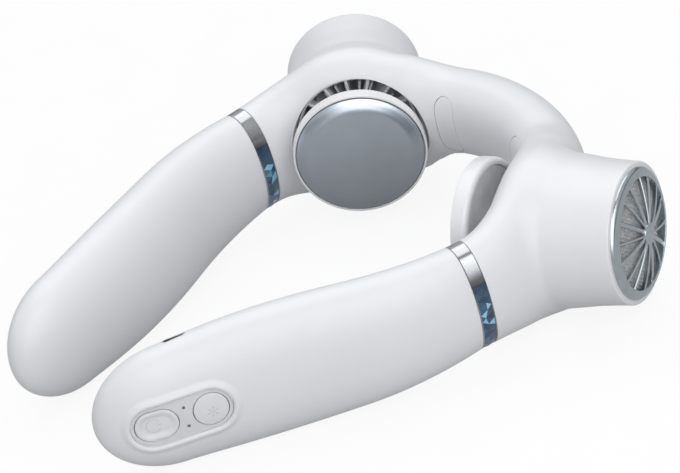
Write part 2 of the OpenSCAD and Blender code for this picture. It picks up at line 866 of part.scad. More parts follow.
module motor_rotor(side) {
    color([0.45, 0.46, 0.48])
        in_pod(side) {
            tube(can_r, can_r - can_wall, can_from + can_top, can_to);
            disc(can_r, can_from, can_from + can_top);
            disc(shaft_r, can_from, shaft_end);
        }
}
module impeller(side) {
    tip_r = duct_r - blade_gap;
    hub_to = impeller_from + impeller_length;
    color([0.9, 0.91, 0.92])
        in_pod(side) {
            difference() {
                disc(hub_r, hub_cap_from, hub_to);
                disc(can_r + hub_gap, can_from, hub_to + cut);
            }
            intersection() {
                tube(tip_r, hub_r - blade_root, impeller_from, hub_to);
                ring_of(blade_count)
                    translate([hub_r - blade_root * 2, 0, impeller_from + impeller_length / 2])
                    rotate([blade_slant, 0, 0])
                    translate([0, -blade_thick / 2, -impeller_length])
                    cube([tip_r, blade_thick, 2 * impeller_length]);
            }
        }
}

// Outlet: straight vanes round a hub that rides on the heat spreader's neck
neck_r = 6.2;
vane_hub_r = 10.5;
vane_rim = 1.8;
vane_thick = 1.1;
fin_hub_r = 8;
fin_r = 20;
fin_thick = 0.8;
fin_room = 0.9;
fin_from = shoulder_at + fin_room;
stem_share = 0.5455;
stem_end = pod_length * stem_share;
module vane_ring(side) {
    rim = lip_r - wall - slip_gap;
    color(white)
        in_pod(side) {
            tube(rim, rim - vane_rim, vane_from, shoulder_at);
            tube(vane_hub_r, neck_r + slip_gap, vane_from, shoulder_at);
            ring_of(vane_count)
                translate([vane_hub_r - vane_thick / 2, -vane_thick / 2, vane_from])
                cube([rim - vane_hub_r - vane_rim / 2, vane_thick, vane_depth]);
        }
}
module fin_stack(side) {
    color([0.78, 0.8, 0.82])
        in_pod(side) {
            tube(fin_hub_r, neck_r + hub_gap, shoulder_at, stem_end);
            ring_of(fin_count)
                translate([fin_hub_r - fin_thick / 2, -fin_thick / 2, fin_from])
                cube([fin_r - fin_hub_r, fin_thick, stem_end - fin_from]);
        }
}

// Cooling disc: the plate and the square cooling element lie in the front of
// the cup, and the heat spreader in its rear.
flange_ring = 5.5;
flange_r = cup_r - flange_ring;
element_side = cup_r * element_share;
flange_from = 2;
plate_gap = 0.25;
plate_back = 1;
plate_crown = 0.2;
plate_steps = 6;
spreader_front = plate_back + element_thick;
spreader_thick = 1.6;
cup_round = 2.2;
cup_chamfer_share = 0.3;
module disc_cup(side) {
    front_r = cup_r - cup_edge;
    rear_r = cup_r - cup_rear_rim;
    color(white)
        in_pod(side)
        rotate_extrude()
        polygon([
            [front_r, 0], [cup_r, 0], [cup_r, cup_depth - cup_round],
            [cup_r - cup_round * cup_chamfer_share, cup_depth - cup_round * cup_chamfer_share],
            [cup_r - cup_round, cup_depth], [rear_r, cup_depth], [rear_r, spreader_front],
            [flange_r, spreader_front], [flange_r, flange_from], [front_r, flange_from]]);
}
module cold_plate(side) {
    plate_r = cup_r - cup_edge - plate_gap;
    color([0.8, 0.83, 0.87])
        in_pod(side)
        rotate_extrude()
        polygon(concat(
            [[0, -plate_rise - plate_crown]],
            [for (i = [0:plate_steps])
                let(a = 90 * i / plate_steps)
                [plate_r - plate_round * (1 - sin(a)), -plate_rise * cos(a)]],
            [[plate_r, flange_from], [flange_r, flange_from],
                [flange_r, plate_back], [0, plate_back]]));
}
module cooling_element(side) {
    color([0.93, 0.93, 0.9])
        in_pod(side)
        translate([-element_side / 2, -element_side / 2, plate_back])
        cube([element_side, element_side, element_thick]);
}
module heat_spreader(side) {
    color([0.66, 0.69, 0.73])
        in_pod(side) {
            disc(cup_r - cup_rear_rim - slip_gap, spreader_front, spreader_front + spreader_thick);
            disc(stem_r, spreader_front, vane_from);
            disc(neck_r, spreader_front, stem_end);
        }
}

// Controls on the outer side of the left arm. The panel's face is a shallow
// barrel that follows the arm's surface; its frame has X towards the joint, Y
// up and Z outwards, and depths are counted from the middle of the face.
function arm_outside(s) =
    arm_point(s) + side_dir(lean(s)) * (s < body_length
        ? arm_half_w(s)
        : end_thick / 2 * sqrt(1 - pow((s - body_length) / cap_length, 2)));
panel_back_end = arm_outside(panel_at - panel_length / 2);
panel_front_end = arm_outside(panel_at + panel_length / 2);
panel_chord = panel_back_end - panel_front_end;
panel_angle = atan2(panel_chord[1], panel_chord[0]);
panel_out = [sin(panel_angle), -cos(panel_angle)];
panel_swell = (arm_outside(panel_at) - (panel_back_end + panel_front_end) / 2) * panel_out;
panel_fall = arm_half_w(panel_at) * (1 - pow(
    1 - pow(panel_tall / 2 / arm_half_t(panel_at), squareness), 1 / squareness));
barrel_long_r = pow(norm(panel_chord) / 2, 2) / (2 * panel_swell) + panel_swell / 2;
barrel_round_r = pow(panel_tall / 2, 2) / (2 * panel_fall) + panel_fall / 2;
panel_centre = [each (arm_outside(panel_at) - panel_out * panel_depth), drop(panel_at)];
barrel_arc = 20;
barrel_long_sides = 720;
barrel_round_sides = 192;
panel_thick = 1.6;
panel_border = 2.5;
border_rise = 0.45;
panel_ledge = 1.5;
pad_from = 0.5;
pad_to = 2.8;
button_margin = 1.8;
button_proud = 0.5;
button_room = 2;
flange_rim = 1.2;
flange_from_face = 4.1;
flange_thick = 0.8;
post_r = 1.6;
post_end = 6.6;
actuator_r = 1.7;
actuator_gap = 0.3;
actuator_tall = 0.8;
switch_side = 6;
switch_tall = 3.5;
board_length = 42;
board_tall = 24;
board_thick = 1.2;
light_r = 0.55;
light_gap = 0.05;
light_spread = 4.2;
power_x = button_margin + (power_length - panel_length) / 2;
mode_x = (panel_length - mode_d) / 2 - button_margin;
lights_x = (power_x + power_length / 2 + mode_x - mode_d / 2) / 2;
actuator_top = post_end + button_travel + actuator_gap;
board_front = actuator_top + actuator_tall + switch_tall;
module panel_place() {
    translate(panel_centre) rotate([0, 0, panel_angle]) rotate([90, 0, 0]) children();
}
module barrel(raised) {
    translate([0, 0, -barrel_long_r])
        rotate([-90, 0, 0])
        rotate([0, 0, -90 - barrel_arc / 2])
        rotate_extrude(angle = barrel_arc, $fn = barrel_long_sides)
        translate([barrel_long_r - barrel_round_r, 0])
        circle(r = barrel_round_r + raised, $fn = barrel_round_sides);
}
module button_holes(gap, from, to) {
    translate([power_x, 0, 0])
        stadium_bar(power_length + 2 * gap, power_tall + 2 * gap, from, to);
    translate([mode_x, 0, 0]) disc(mode_d / 2 + gap, from, to);
}
module light_bars(radius, from, to) {
    for (y = [-light_spread, light_spread]) translate([lights_x, y, 0]) disc(radius, from, to);
}
module panel_skin(grow, above, below) {
    difference() {
        intersection() {
            stadium_bar(panel_length + 2 * grow, panel_tall + 2 * grow,
                -flange_from_face, button_room);
            barrel(above);
        }
        barrel(-below);
    }
}
module control_panel() {
    color([0.88, 0.89, 0.92])
        on_side(1)
        panel_place()
        difference() {
            panel_skin(-slip_gap, 0, panel_thick);
            button_holes(button_gap, -flange_from_face, button_room);
            light_bars(light_r + light_gap, -flange_from_face, button_room);
        }
}
module power_button() {
    grow = 2 * (button_gap + flange_rim);
    color([0.95, 0.95, 0.97])
        on_side(1)
        panel_place() {
            intersection() {
                translate([power_x, 0, 0])
                    stadium_bar(power_length, power_tall, -flange_from_face, button_room);
                barrel(button_proud);
            }
            translate([power_x, 0, 0]) {
                stadium_bar(power_length + grow, power_tall + grow,
                    -flange_from_face - flange_thick, -flange_from_face);
                disc(post_r, -post_end, -flange_from_face);
            }
        }
}
module mode_button() {
    color([0.95, 0.95, 0.97])
        on_side(1)
        panel_place() {
            intersection() {
                translate([mode_x, 0, 0]) disc(mode_d / 2, -flange_from_face, button_room);
                barrel(button_proud);
            }
            translate([mode_x, 0, 0]) {
                disc(mode_d / 2 + button_gap + flange_rim,
                    -flange_from_face - flange_thick, -flange_from_face);
                disc(post_r, -post_end, -flange_from_face);
            }
        }
}
module control_board() {
    color(board_green)
        on_side(1)
        panel_place()
        translate([-board_length / 2, tray_top - drop(panel_at), -board_front - board_thick])
        cube([board_length, board_tall, board_thick]);
}
module button_switches() {
    color([0.2, 0.2, 0.22])
        on_side(1)
        panel_place()
        for (x = [power_x, mode_x])
            translate([x, 0, -board_front]) {
                translate([-switch_side / 2, -switch_side / 2, 0])
                    cube([switch_side, switch_side, switch_tall]);
                disc(actuator_r, 0, switch_tall + actuator_tall);
            }
}
module indicator_lights() {
    color([0.75, 0.85, 1])
        on_side(1)
        panel_place()
        intersection() {
            light_bars(light_r, -board_front, button_room);
            barrel(0);
        }
}

// Socket: a charging socket in the top of the left arm, leaning inwards. Its
// frame has X along the arm and Z out of the arm.
socket_side = 3;
socket_tilt = 15;
socket_length = 8.94;
socket_tall = 3.26;
socket_skin = 0.3;
socket_gap = 0.28;
socket_sunk = 0.5;
socket_depth = 7.4;
socket_back = 1;
tongue_length = 6.7;
tongue_thick = 0.7;
tongue_back = 2.2;
usb_board_length = 14;
usb_board_tall = 7;
usb_board_thick = 1;
usb_board_low = socket_sunk + socket_depth + usb_board_thick;
post_side = 2.6;
post_thick = 1.6;
post_length = 6;
socket_height = drop(socket_at) + arm_half_t(socket_at) * pow(
    1 - pow(socket_side / arm_half_w(socket_at), squareness), 1 / squareness);
module socket_place() {
    translate([each (arm_point(socket_at) - side_dir(lean(socket_at)) * socket_side),
            socket_height])
        rotate([0, 0, -lean(socket_at)])
        rotate([0, -socket_tilt, 0])
        rotate([0, 0, 90]) children();
}
module usb_socket() {
    bottom = -socket_sunk - socket_depth;
    color([0.75, 0.76, 0.78])
        on_side(1)
        socket_place() {
            difference() {
                stadium_bar(socket_length, socket_tall, bottom, -socket_sunk);
                stadium_bar(socket_length - 2 * socket_skin, socket_tall - 2 * socket_skin,
                    bottom + socket_back, 0);
            }
            translate([-tongue_length / 2, -tongue_thick / 2, bottom])
                cube([tongue_length, tongue_thick, socket_depth - tongue_back]);
        }
}
module usb_board() {
    color(board_green)
        on_side(1)
        socket_place()
        translate([-usb_board_length / 2, -usb_board_tall / 2, -usb_board_low])
        cube([usb_board_length, usb_board_tall, usb_board_thick]);
}

module left_arm_shell() {
    color(white)
        difference() {
            on_side(1)
                difference() {
                    union() {
                        difference() {
                            loft(arm_rings(0));
                            loft(arm_rings(wall));
                        }
                        panel_place() panel_skin(panel_ledge, -pad_from, pad_to);
                    }
                    panel_place() {
                        difference() {
                            stadium_bar(panel_length + 2 * panel_border,
                                panel_tall + 2 * panel_border, -flange_from_face, button_room);
                            barrel(border_rise);
                        }
                        difference() {
                            stadium_bar(panel_length, panel_tall, -flange_from_face, button_room);
                            barrel(-panel_thick);
                        }
                        button_holes(button_gap, -flange_from_face - cut, button_room);
                        light_bars(light_r + light_gap, -flange_from_face - cut, button_room);
                    }
                    socket_place()
                        stadium_bar(socket_length + 2 * socket_gap, socket_tall + 2 * socket_gap,
                            -2 * wall, 2 * wall);
                }
            below_floor();
        }
}
module right_arm_shell() {
    color(white)
        difference() {
            on_side(-1)
                difference() {
                    loft(arm_rings(0));
                    loft(arm_rings(wall));
                }
            below_floor();
        }
}

neck_shell();
neck_cover();
neck_cover_screws();
band_loom();
band_inlay(1);  // left_band_inlay
band_inlay(-1);  // right_band_inlay
left_arm_shell();
right_arm_shell();
arm_frame(1);  // left_arm_frame
arm_frame(-1);  // right_arm_frame
trim_ring(1);  // left_trim_ring
trim_ring(-1);  // right_trim_ring
light_band(1);  // left_light_band
light_band(-1);  // right_light_band
battery(1);  // left_battery
battery(-1);  // right_battery
arm_loom(1);  // left_arm_loom
arm_loom(-1);  // right_arm_loom
intake_grille(1);  // left_intake_grille
intake_grille(-1);  // right_intake_grille
intake_mesh(1);  // left_intake_mesh
intake_mesh(-1);  // right_intake_mesh
motor_bracket(1);  // left_motor_bracket
motor_bracket(-1);  // right_motor_bracket
motor_stator(1);  // left_motor_stator
motor_stator(-1);  // right_motor_stator
motor_rotor(1);  // left_motor_rotor
motor_rotor(-1);  // right_motor_rotor
impeller(1);  // left_impeller
impeller(-1);  // right_impeller
vane_ring(1);  // left_vane_ring
vane_ring(-1);  // right_vane_ring
fin_stack(1);  // left_fin_stack
fin_stack(-1);  // right_fin_stack
heat_spreader(1);  // left_heat_spreader
heat_spreader(-1);  // right_heat_spreader
cooling_element(1);  // left_cooling_element
cooling_element(-1);  // right_cooling_element
disc_cup(1);  // left_disc_cup
disc_cup(-1);  // right_disc_cup
cold_plate(1);  // left_cold_plate
cold_plate(-1);  // right_cold_plate
control_panel();
power_button();
mode_button();
control_board();
button_switches();
indicator_lights();
usb_socket();
usb_board();
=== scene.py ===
# %% [markdown]
# # An electric neck fan, dressed for its picture
# The real fan is a white U that hangs round the neck. A band runs behind the neck, a
# fan pod with a metal cooling disc sits at each end of it, and a hollow arm runs
# forward from each pod. The solid model has every piece as a plain solid; here the
# surfaces that show get their soft blends, small edges and finishes. Every shape is
# worked out with numpy on a grid, in millimetres, and put into a mesh at the end.

# %% Load the solid model
import json
import bmesh
import bpy
import numpy as np
from mathutils import Matrix, Vector

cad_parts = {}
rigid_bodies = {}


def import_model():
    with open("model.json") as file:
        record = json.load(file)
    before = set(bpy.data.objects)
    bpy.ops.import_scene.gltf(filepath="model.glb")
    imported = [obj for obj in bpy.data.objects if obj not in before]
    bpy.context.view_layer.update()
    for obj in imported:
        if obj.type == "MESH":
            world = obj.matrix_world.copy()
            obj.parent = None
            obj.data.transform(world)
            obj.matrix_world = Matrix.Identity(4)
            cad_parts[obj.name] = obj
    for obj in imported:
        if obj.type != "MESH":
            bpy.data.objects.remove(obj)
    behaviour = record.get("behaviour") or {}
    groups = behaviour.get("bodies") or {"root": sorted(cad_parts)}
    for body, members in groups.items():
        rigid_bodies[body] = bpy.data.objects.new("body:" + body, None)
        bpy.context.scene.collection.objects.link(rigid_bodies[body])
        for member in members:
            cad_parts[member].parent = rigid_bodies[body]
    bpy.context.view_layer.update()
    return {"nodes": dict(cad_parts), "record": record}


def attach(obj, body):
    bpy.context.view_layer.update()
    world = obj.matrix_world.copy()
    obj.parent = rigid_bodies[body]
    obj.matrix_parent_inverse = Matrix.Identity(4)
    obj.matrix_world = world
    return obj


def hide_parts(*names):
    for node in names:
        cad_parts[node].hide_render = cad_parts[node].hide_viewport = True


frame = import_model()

# %% [markdown]
# ## The fan's own axes
# The fan is symmetrical about a level plane through the axes of its pods, but it rests
# leaning forward a little, on the undersides of its arms. So each surface is worked
# out on the fan's level axes, with X across the neck and Y to the back, and one
# function at the end leans it and stands it on the floor.

# %% Level axes to resting frame
MM = 0.001
LEAN = np.radians(2.4)
MIDDLE_Y = -55.6486
AXIS_Z = 32.2432


def stand(points):
    """Level axes in millimetres to the resting frame in metres: a turn by LEAN about X,
    then a shift back by MIDDLE_Y and up by AXIS_Z. Nothing goes under the floor."""
    x, y, z = np.moveaxis(np.asarray(points, float), -1, 0)
    back = y * np.cos(LEAN) - z * np.sin(LEAN) - MIDDLE_Y
    up = y * np.sin(LEAN) + z * np.cos(LEAN) + AXIS_Z
    return np.stack([x, back, np.maximum(up, 0)], -1) * MM


def turned(x, y, degrees):
    """A plan point turned about the origin: x cos a - y sin a, x sin a + y cos a."""
    a = np.radians(degrees)
    return x * np.cos(a) - y * np.sin(a), x * np.sin(a) + y * np.cos(a)


print("a point on the pods' axes stands", stand([0, 0, 0])[2] / MM, "mm above the floor")

# %% [markdown]
# ## Places on the fan
# A pod's own axes have Z outwards from the front of its disc. A joint's own axes have
# Z forwards along the arm. The control panel's have X along the arm, Y up and Z out of
# the arm. Working on such axes keeps each formula short.

# %% Pod, joint and panel axes
POD_X, POD_TURN = 42.3, 31.8
JOINT, JOINT_LEAN = np.array([77.8, -33.5]), 5.2


def in_pod(points, side):
    """Pod axes to level axes: Z becomes the direction outwards and X points down, then
    a turn in plan by POD_TURN, a shift by POD_X, and for side -1 a mirror image."""
    x, y, z = np.moveaxis(np.asarray(points, float), -1, 0)
    across, back = turned(z, y, POD_TURN)
    return np.stack([(across + POD_X) * side, back, -x], -1)


def at_joint(points, side):
    """Joint axes to level axes: Y becomes up and Z forwards, with the joint's lean."""
    x, y, z = np.moveaxis(np.asarray(points, float), -1, 0)
    across, back = turned(x, -z, -JOINT_LEAN)
    return np.stack([(across + JOINT[0]) * side, back + JOINT[1], y], -1)


# %% [markdown]
# ## From a grid of points to a mesh
# A surface that is a function of two parameters is a grid of points, and its faces
# are the squares between neighbours. A grid can close on itself in either direction,
# as a tube or a torus does. Where a whole row meets in one point, as at a pole, the
# doubles are merged after that and the thin triangles stay.

# %% Grid helpers
SIDES = ((1, "left"), (-1, "right"))


def grid_faces(rows, columns, wrap_rows=False):
    """The squares of a grid whose rows close on themselves: corner (i, j), (i, j+1),
    (i+1, j+1), (i+1, j)."""
    i = np.arange(rows if wrap_rows else rows - 1)[:, None]
    j = np.arange(columns)
    i2, j2 = (i + 1) % rows, (j + 1) % columns
    corners = [i * columns + j, i * columns + j2, i2 * columns + j2, i2 * columns + j]
    return np.stack(corners, -1).reshape(-1, 4)


def tube_faces(tubes, rows, sides):
    """Walls and end caps of that many tubes, each of them a grid of rows by sides."""
    first = (np.arange(tubes) * rows * sides)[:, None, None]
    walls = (grid_faces(rows, sides)[None] + first).reshape(-1, 4)
    starts = np.arange(sides) + first[:, 0]
    return [walls, np.concatenate([starts, starts + (rows - 1) * sides])]


def build(name, points, faces, merge=1e-7, crease=35):
    """Puts points (mm, level axes) and arrays of faces into a mesh object, merges the
    doubles of poles and seams, and turns all faces outwards. Edges sharper than
    crease degrees stay sharp."""
    places = stand(points)
    mesh = bpy.data.meshes.new(name)
    corners = np.concatenate([f.ravel() for f in faces]).astype(np.int32)
    sizes = np.concatenate([np.full(len(f), f.shape[1]) for f in faces])
    mesh.vertices.add(len(places))
    mesh.vertices.foreach_set("co", places.astype(np.float32).ravel())
    mesh.loops.add(len(corners))
    mesh.loops.foreach_set("vertex_index", corners)
    mesh.polygons.add(len(sizes))
    mesh.polygons.foreach_set("loop_start", (np.cumsum(sizes) - sizes).astype(np.int32))
    mesh.update(calc_edges=True)
    if merge:
        tidy(mesh, merge)
    smooth(mesh, crease)
    return place_object(name, mesh)


def place_object(name, data):
    """Puts a mesh, a lamp or a camera into the scene as an object."""
    piece = bpy.data.objects.new(name, data)
    bpy.context.scene.collection.objects.link(piece)
    return piece


def tidy(mesh, merge):
    """Merges doubles, drops faces with no area and turns the rest outwards."""
    work = bmesh.new()
    work.from_mesh(mesh)
    bmesh.ops.remove_doubles(work, verts=work.verts, dist=merge)
    bmesh.ops.dissolve_degenerate(work, edges=work.edges, dist=merge)
    bmesh.ops.recalc_face_normals(work, faces=work.faces)
    work.to_mesh(mesh)
    work.free()
    mesh.update()


def smooth(mesh, crease=35):
    """Smooth shading, except over edges sharper than crease degrees."""
    mesh.polygons.foreach_set("use_smooth", np.ones(len(mesh.polygons), bool))
    mesh.set_sharp_from_angle(angle=np.radians(crease))


def carve(piece, tool):
    """Cuts the closed shape tool out of piece and takes tool away."""
    cut = piece.modifiers.new("cut", "BOOLEAN")
    cut.object, cut.operation, cut.solver = tool, "DIFFERENCE", "EXACT"
    graph = bpy.context.evaluated_depsgraph_get()
    mesh = bpy.data.meshes.new_from_object(piece.evaluated_get(graph))
    piece.modifiers.clear()
    old, piece.data = piece.data, mesh
    bpy.data.meshes.remove(old)
    bpy.data.objects.remove(tool)
    smooth(mesh)


def dress(piece, body, material, slot, *stands_for):
    """Gives a finished piece its material and the body that it rides on, and hides the
    solid nodes that it stands for. The slot is not used."""
    piece.data.materials.clear()
    piece.data.materials.append(material)
    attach(piece, body)
    if stands_for:
        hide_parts(*stands_for)
    faces = sum(len(p.vertices) - 2 for p in piece.data.polygons)
    print(piece.name, "has", faces, "triangles")

# %% [markdown]
# ## Turned pieces
# Cups, plates, rims and grille rings are turned: a profile of radius against distance,
# carried round an axis. Real moulded and machined edges are never sharp, so corners of
# a profile are rounded first, by an arc that touches both sides.

# %% Turned and rounded profiles


def rounded_profile(corners, steps=5):
    """corners holds (radius from the axis, distance along it, corner rounding). Each
    corner becomes an arc: a quadratic curve from one touching point to the other."""
    table = np.array(corners, float)
    place, size = table[:, :2], table[:, 2:3]
    before, after = np.roll(place, 1, 0) - place, np.roll(place, -1, 0) - place
    before /= np.maximum(np.linalg.norm(before, axis=1, keepdims=True), 1e-9)
    after /= np.maximum(np.linalg.norm(after, axis=1, keepdims=True), 1e-9)
    t = np.linspace(0, 1, steps)[None, :, None]
    a, b, c = (p[:, None, :] for p in (place + before * size, place, place + after * size))
    return ((1 - t) ** 2 * a + 2 * t * (1 - t) * b + t ** 2 * c).reshape(-1, 2)


def turned_part(profile, sides=144, closed=True):
    """A profile carried round the axis: (r cos a, r sin a, z) for each angle a. A closed
    one makes a ring, and one that starts and ends on the axis makes a disc."""
    a = np.linspace(0, 2 * np.pi, sides, endpoint=False)
    r, z = np.asarray(profile, float).T[..., None]
    points = np.stack([r * np.cos(a), r * np.sin(a), np.broadcast_to(z, (len(r), sides))], -1)
    return points, [grid_faces(len(r), sides, wrap_rows=closed)]


def together(parts):
    """Joins (points, faces) pairs into one list of points and one of faces."""
    points, faces, first = [], [], 0
    for p, f in parts:
        points.append(np.asarray(p, float).reshape(-1, 3))
        faces += [part + first for part in f]
        first += len(points[-1])
    return np.concatenate(points), faces


def pod_piece(name, parts, side, **more):
    """One mesh of several parts, on the axes of the pod at that side."""
    points, faces = together(parts)
    return build(name, in_pod(points, side), faces, **more)


print("a square corner becomes", len(rounded_profile([(1, 0, 0.2)])), "points")

# %% [markdown]
# ## Materials from nodes
# No finish here is one flat colour. Moulded plastic has a faint mottle and a very fine
# grain that softens its highlights, and metal has fine scratches. Both come from noise
# on Object coordinates, so they stay on the surface from every side.

# %% Material helpers


def material(name, colour, **values):
    """A Principled material whose uniform values sit on the shader's own sockets."""
    made = bpy.data.materials.new(name)
    made.use_nodes = True
    shader = shader_of(made)
    shader.inputs["Base Color"].default_value = (*colour, 1)
    for key, value in values.items():
        shader.inputs[key.replace("_", " ")].default_value = value
    return made


def add(made, kind, links=(), **values):
    """Adds a node of that kind, sets its sockets or fields, and links into it."""
    node = made.node_tree.nodes.new("ShaderNode" + kind)
    for key, value in values.items():
        if hasattr(node, key):
            setattr(node, key, value)
        else:
            node.inputs[key.replace("_", " ")].default_value = value
    for output, socket in links:
        made.node_tree.links.new(output, node.inputs[socket])
    return node


def shader_of(made):
    """The Principled shader of a material."""
    return made.node_tree.nodes["Principled BSDF"]


def join(made, output, socket):
    """Links an output to the named socket of the material's shader."""
    made.node_tree.links.new(output, shader_of(made).inputs[socket])


def reckon(made, operation, first, second=0.0):
    """The output of a Math node over a socket and a second socket or number."""
    node = add(made, "Math", [(first, 0)], operation=operation)
    if hasattr(second, "is_linked"):
        made.node_tree.links.new(second, node.inputs[1])
    else:
        node.inputs[1].default_value = second
    return node.outputs[0]


def ranged(made, value, low, high, full_at=1.0):
    """A value that runs from low to high while the given one runs from 0 to full_at."""
    return add(made, "MapRange", [(value, "Value")], To_Min=low, To_Max=high,
               From_Max=full_at).outputs["Result"]


def ramp(made, value, stops):
    """A colour ramp over value; stops holds pairs of a place and a colour."""
    node = add(made, "ValToRGB", [(value, "Fac")])
    for place, _ in stops[1:-1]:
        node.color_ramp.elements.new(place)
    for stop, (place, colour) in zip(node.color_ramp.elements, stops):
        stop.position, stop.color = place, (*colour, 1)
    return node.outputs["Color"]


def height_of(made):
    """Height in metres on the piece's own coordinates."""
    place = add(made, "TexCoord").outputs["Object"]
    return add(made, "SeparateXYZ", [(place, 0)]).outputs["Z"]


def noise(made, size, detail):
    """Noise over Object coordinates, with patches of size millimetres."""
    place = add(made, "TexCoord").outputs["Object"]
    return add(made, "TexNoise", [(place, "Vector")], Scale=1 / (size * MM),
               Detail=detail).outputs["Fac"]


def finish(name, shades, patch, grain, depth, rough, **values):
    """A finish whose colour wanders between two close shades over patches of patch
    millimetres. Bumps grain millimetres wide and depth high roughen it, and its
    roughness wanders between two values."""
    made = material(name, np.mean(shades, 0), **values)
    join(made, ramp(made, noise(made, patch, 3), list(zip((0.3, 0.7), shades))), "Base Color")
    fine = noise(made, grain, 2)
    join(made, ranged(made, fine, *rough), "Roughness")
    bump = add(made, "Bump", [(fine, "Height")], Strength=1.0, Distance=depth * MM)
    join(made, bump.outputs["Normal"], "Normal")
    print("finish", name)
    return made


def paint_shade_and_light_by_height(made, lowest_at, full_at, least, most):
    """Paints shade and light onto a finish by height: scales its colour by a share that is
    least at the height lowest_at and grows to most with the distance from it, up to the
    height full_at (millimetres)."""
    away = reckon(made, "SUBTRACT", height_of(made), lowest_at * MM)
    away = reckon(made, "ABSOLUTE", away)
    share = ranged(made, away, least, most, (full_at - lowest_at) * MM)
    plain = shader_of(made).inputs["Base Color"].links[0].from_socket
    painted_shade_colour = add(made, "VectorMath", [(plain, 0), (share, "Scale")], operation="SCALE")
    join(made, painted_shade_colour.outputs["Vector"], "Base Color")

# %% [markdown]
# ## The white plastic
# The casing is satin white plastic with a hint of blue, and a thin clear gloss over a
# soft base. Its shading in the picture comes from form and light, so the colour itself
# hardly moves.

# %% White plastics
white = finish("satin_white_plastic", ((0.785, 0.797, 0.82), (0.80, 0.812, 0.832)), 14,
               0.5, 0.004, (0.36, 0.44), Coat_Weight=0.25, Coat_Roughness=0.2,
               Specular_IOR_Level=0.45)
cup_white = finish("cup_white_plastic", ((0.81, 0.815, 0.83), (0.83, 0.835, 0.845)), 9,
                   0.4, 0.003, (0.3, 0.38), Coat_Weight=0.4, Coat_Roughness=0.12)

# %% [markdown]
# ## The arm's shape
# Each arm leans inwards by a steady rate per millimetre, first quickly round a bend and
# then back more slowly. Its centre line is therefore two circular arcs. The section is
# an oval a little fuller than an ellipse, which swells to about two thirds of the way
# and ends in a rounded tip.

# %% Centre line and section of the arm
BEND, REACH, CAP = 46.7, 70.1, 31.3
BODY = BEND + REACH
ARM_LEAN, TIP_LEAN = 26.0, 17.3
FULLNESS = 2.15
JOINT_WIDE, JOINT_TALL = 24, 45.4
WIDEST_AT = 0.65


def arm_lean(s):
    """Lean in degrees after s millimetres: two straight ramps, then level."""
    return np.interp(s, [0, BEND, BODY], [JOINT_LEAN, ARM_LEAN, TIP_LEAN])


LENGTHS = np.linspace(-10, BODY + CAP + 10, 1200)
LEANS = np.radians(arm_lean(LENGTHS))
STEPS = np.diff(LENGTHS, prepend=LENGTHS[0])
MIDS = (LEANS + np.roll(LEANS, 1)) / 2
ARM_X = np.cumsum(-np.sin(MIDS) * STEPS)
ARM_Y = np.cumsum(-np.cos(MIDS) * STEPS)
ARM_X += JOINT[0] - np.interp(0, LENGTHS, ARM_X)
ARM_Y += JOINT[1] - np.interp(0, LENGTHS, ARM_Y)


def arm_point(s):
    """Centre line in plan: the sum of small steps (-sin lean, -cos lean)."""
    return np.stack([np.interp(s, LENGTHS, ARM_X), np.interp(s, LENGTHS, ARM_Y)], -1)


def side_of(s):
    """Direction outwards across the arm: (cos lean, -sin lean)."""
    a = np.radians(arm_lean(s))
    return np.stack([np.cos(a), -np.sin(a)], -1)


def arm_drop(s):
    """Height of the centre line: down by a millimetre, along a sine of s."""
    return -np.sin(np.pi / 2 * np.clip(s / (0.6 * BODY), 0, 1))


def swell(joint, widest, end, s):
    """Grows along a sine to its widest at WIDEST_AT and then falls along 1 - cosine."""
    x = np.clip(s / BODY, 0, 1)
    past = np.maximum(x - WIDEST_AT, 0) / (1 - WIDEST_AT)
    rise = joint + (widest - joint) * np.sin(np.pi / 2 * np.minimum(x / WIDEST_AT, 1))
    return rise + (end - widest) * (1 - np.cos(np.pi / 2 * past))


def full(c):
    """The cosine or sine of a fuller oval: its size to the power 2 / FULLNESS."""
    return np.sign(c) * np.abs(c) ** (2 / FULLNESS)


def half_sizes(s):
    """Half the thickness and half the height of the arm's section."""
    return swell(JOINT_WIDE, 28.6, 26.6, s) / 2, swell(JOINT_TALL, 54.2, 50.4, s) / 2


print("arm tip:", np.round(arm_point(BODY + CAP), 2), "mm in plan")

# %% [markdown]
# ## The hollow arm as one grid
# One row parameter runs from the tip along the outside to the joint, turns inside at
# the rim, and runs back along the inner wall. That gives a closed wall with no extra
# work. Past the body the rows follow a quarter circle of angle q, so the tip is round.

# %% Arm surface
WALL, RIM_ROUND = 1.8, 0.5
RIM_ROWS, TIP_ROWS_IN = 5, 12


def arm_surface(s, q, inset, angle):
    """Row at length s, tip angle q and wall inset; column at section angle:
    centre + side * w * cos' + up * t * sin', all sizes times cos q at the tip."""
    half_w, half_t = half_sizes(s)
    reach = s + (CAP - inset) * np.sin(q)
    w = ((half_w - inset) * np.cos(q))[:, None] * full(np.cos(angle))
    t = ((half_t - inset) * np.cos(q))[:, None] * full(np.sin(angle))
    plan = arm_point(reach)[:, None, :] + side_of(reach)[:, None, :] * w[..., None]
    return np.concatenate([plan, (arm_drop(s)[:, None] + t)[..., None]], -1)


def arm_rows(body_rows, tip_rows):
    """Outside rows from the tip to the joint, a rounded rim, and inside rows back."""
    turn = np.linspace(0, np.pi / 2, RIM_ROWS)
    inner = np.append(0, body_rows[3::3])
    s = [np.full(len(tip_rows), BODY), body_rows[::-1], RIM_ROUND * (1 - np.sin(turn)),
         inner, np.full(TIP_ROWS_IN, BODY)]
    q = [tip_rows[::-1], np.zeros(len(body_rows) + RIM_ROWS + len(inner)),
         np.linspace(0.1, np.pi / 2, TIP_ROWS_IN)]
    inset = [np.zeros(len(tip_rows) + len(body_rows)), RIM_ROUND * (1 - np.cos(turn)),
             np.full(len(inner) + TIP_ROWS_IN, WALL)]
    return np.concatenate(s), np.concatenate(q), np.concatenate(inset)


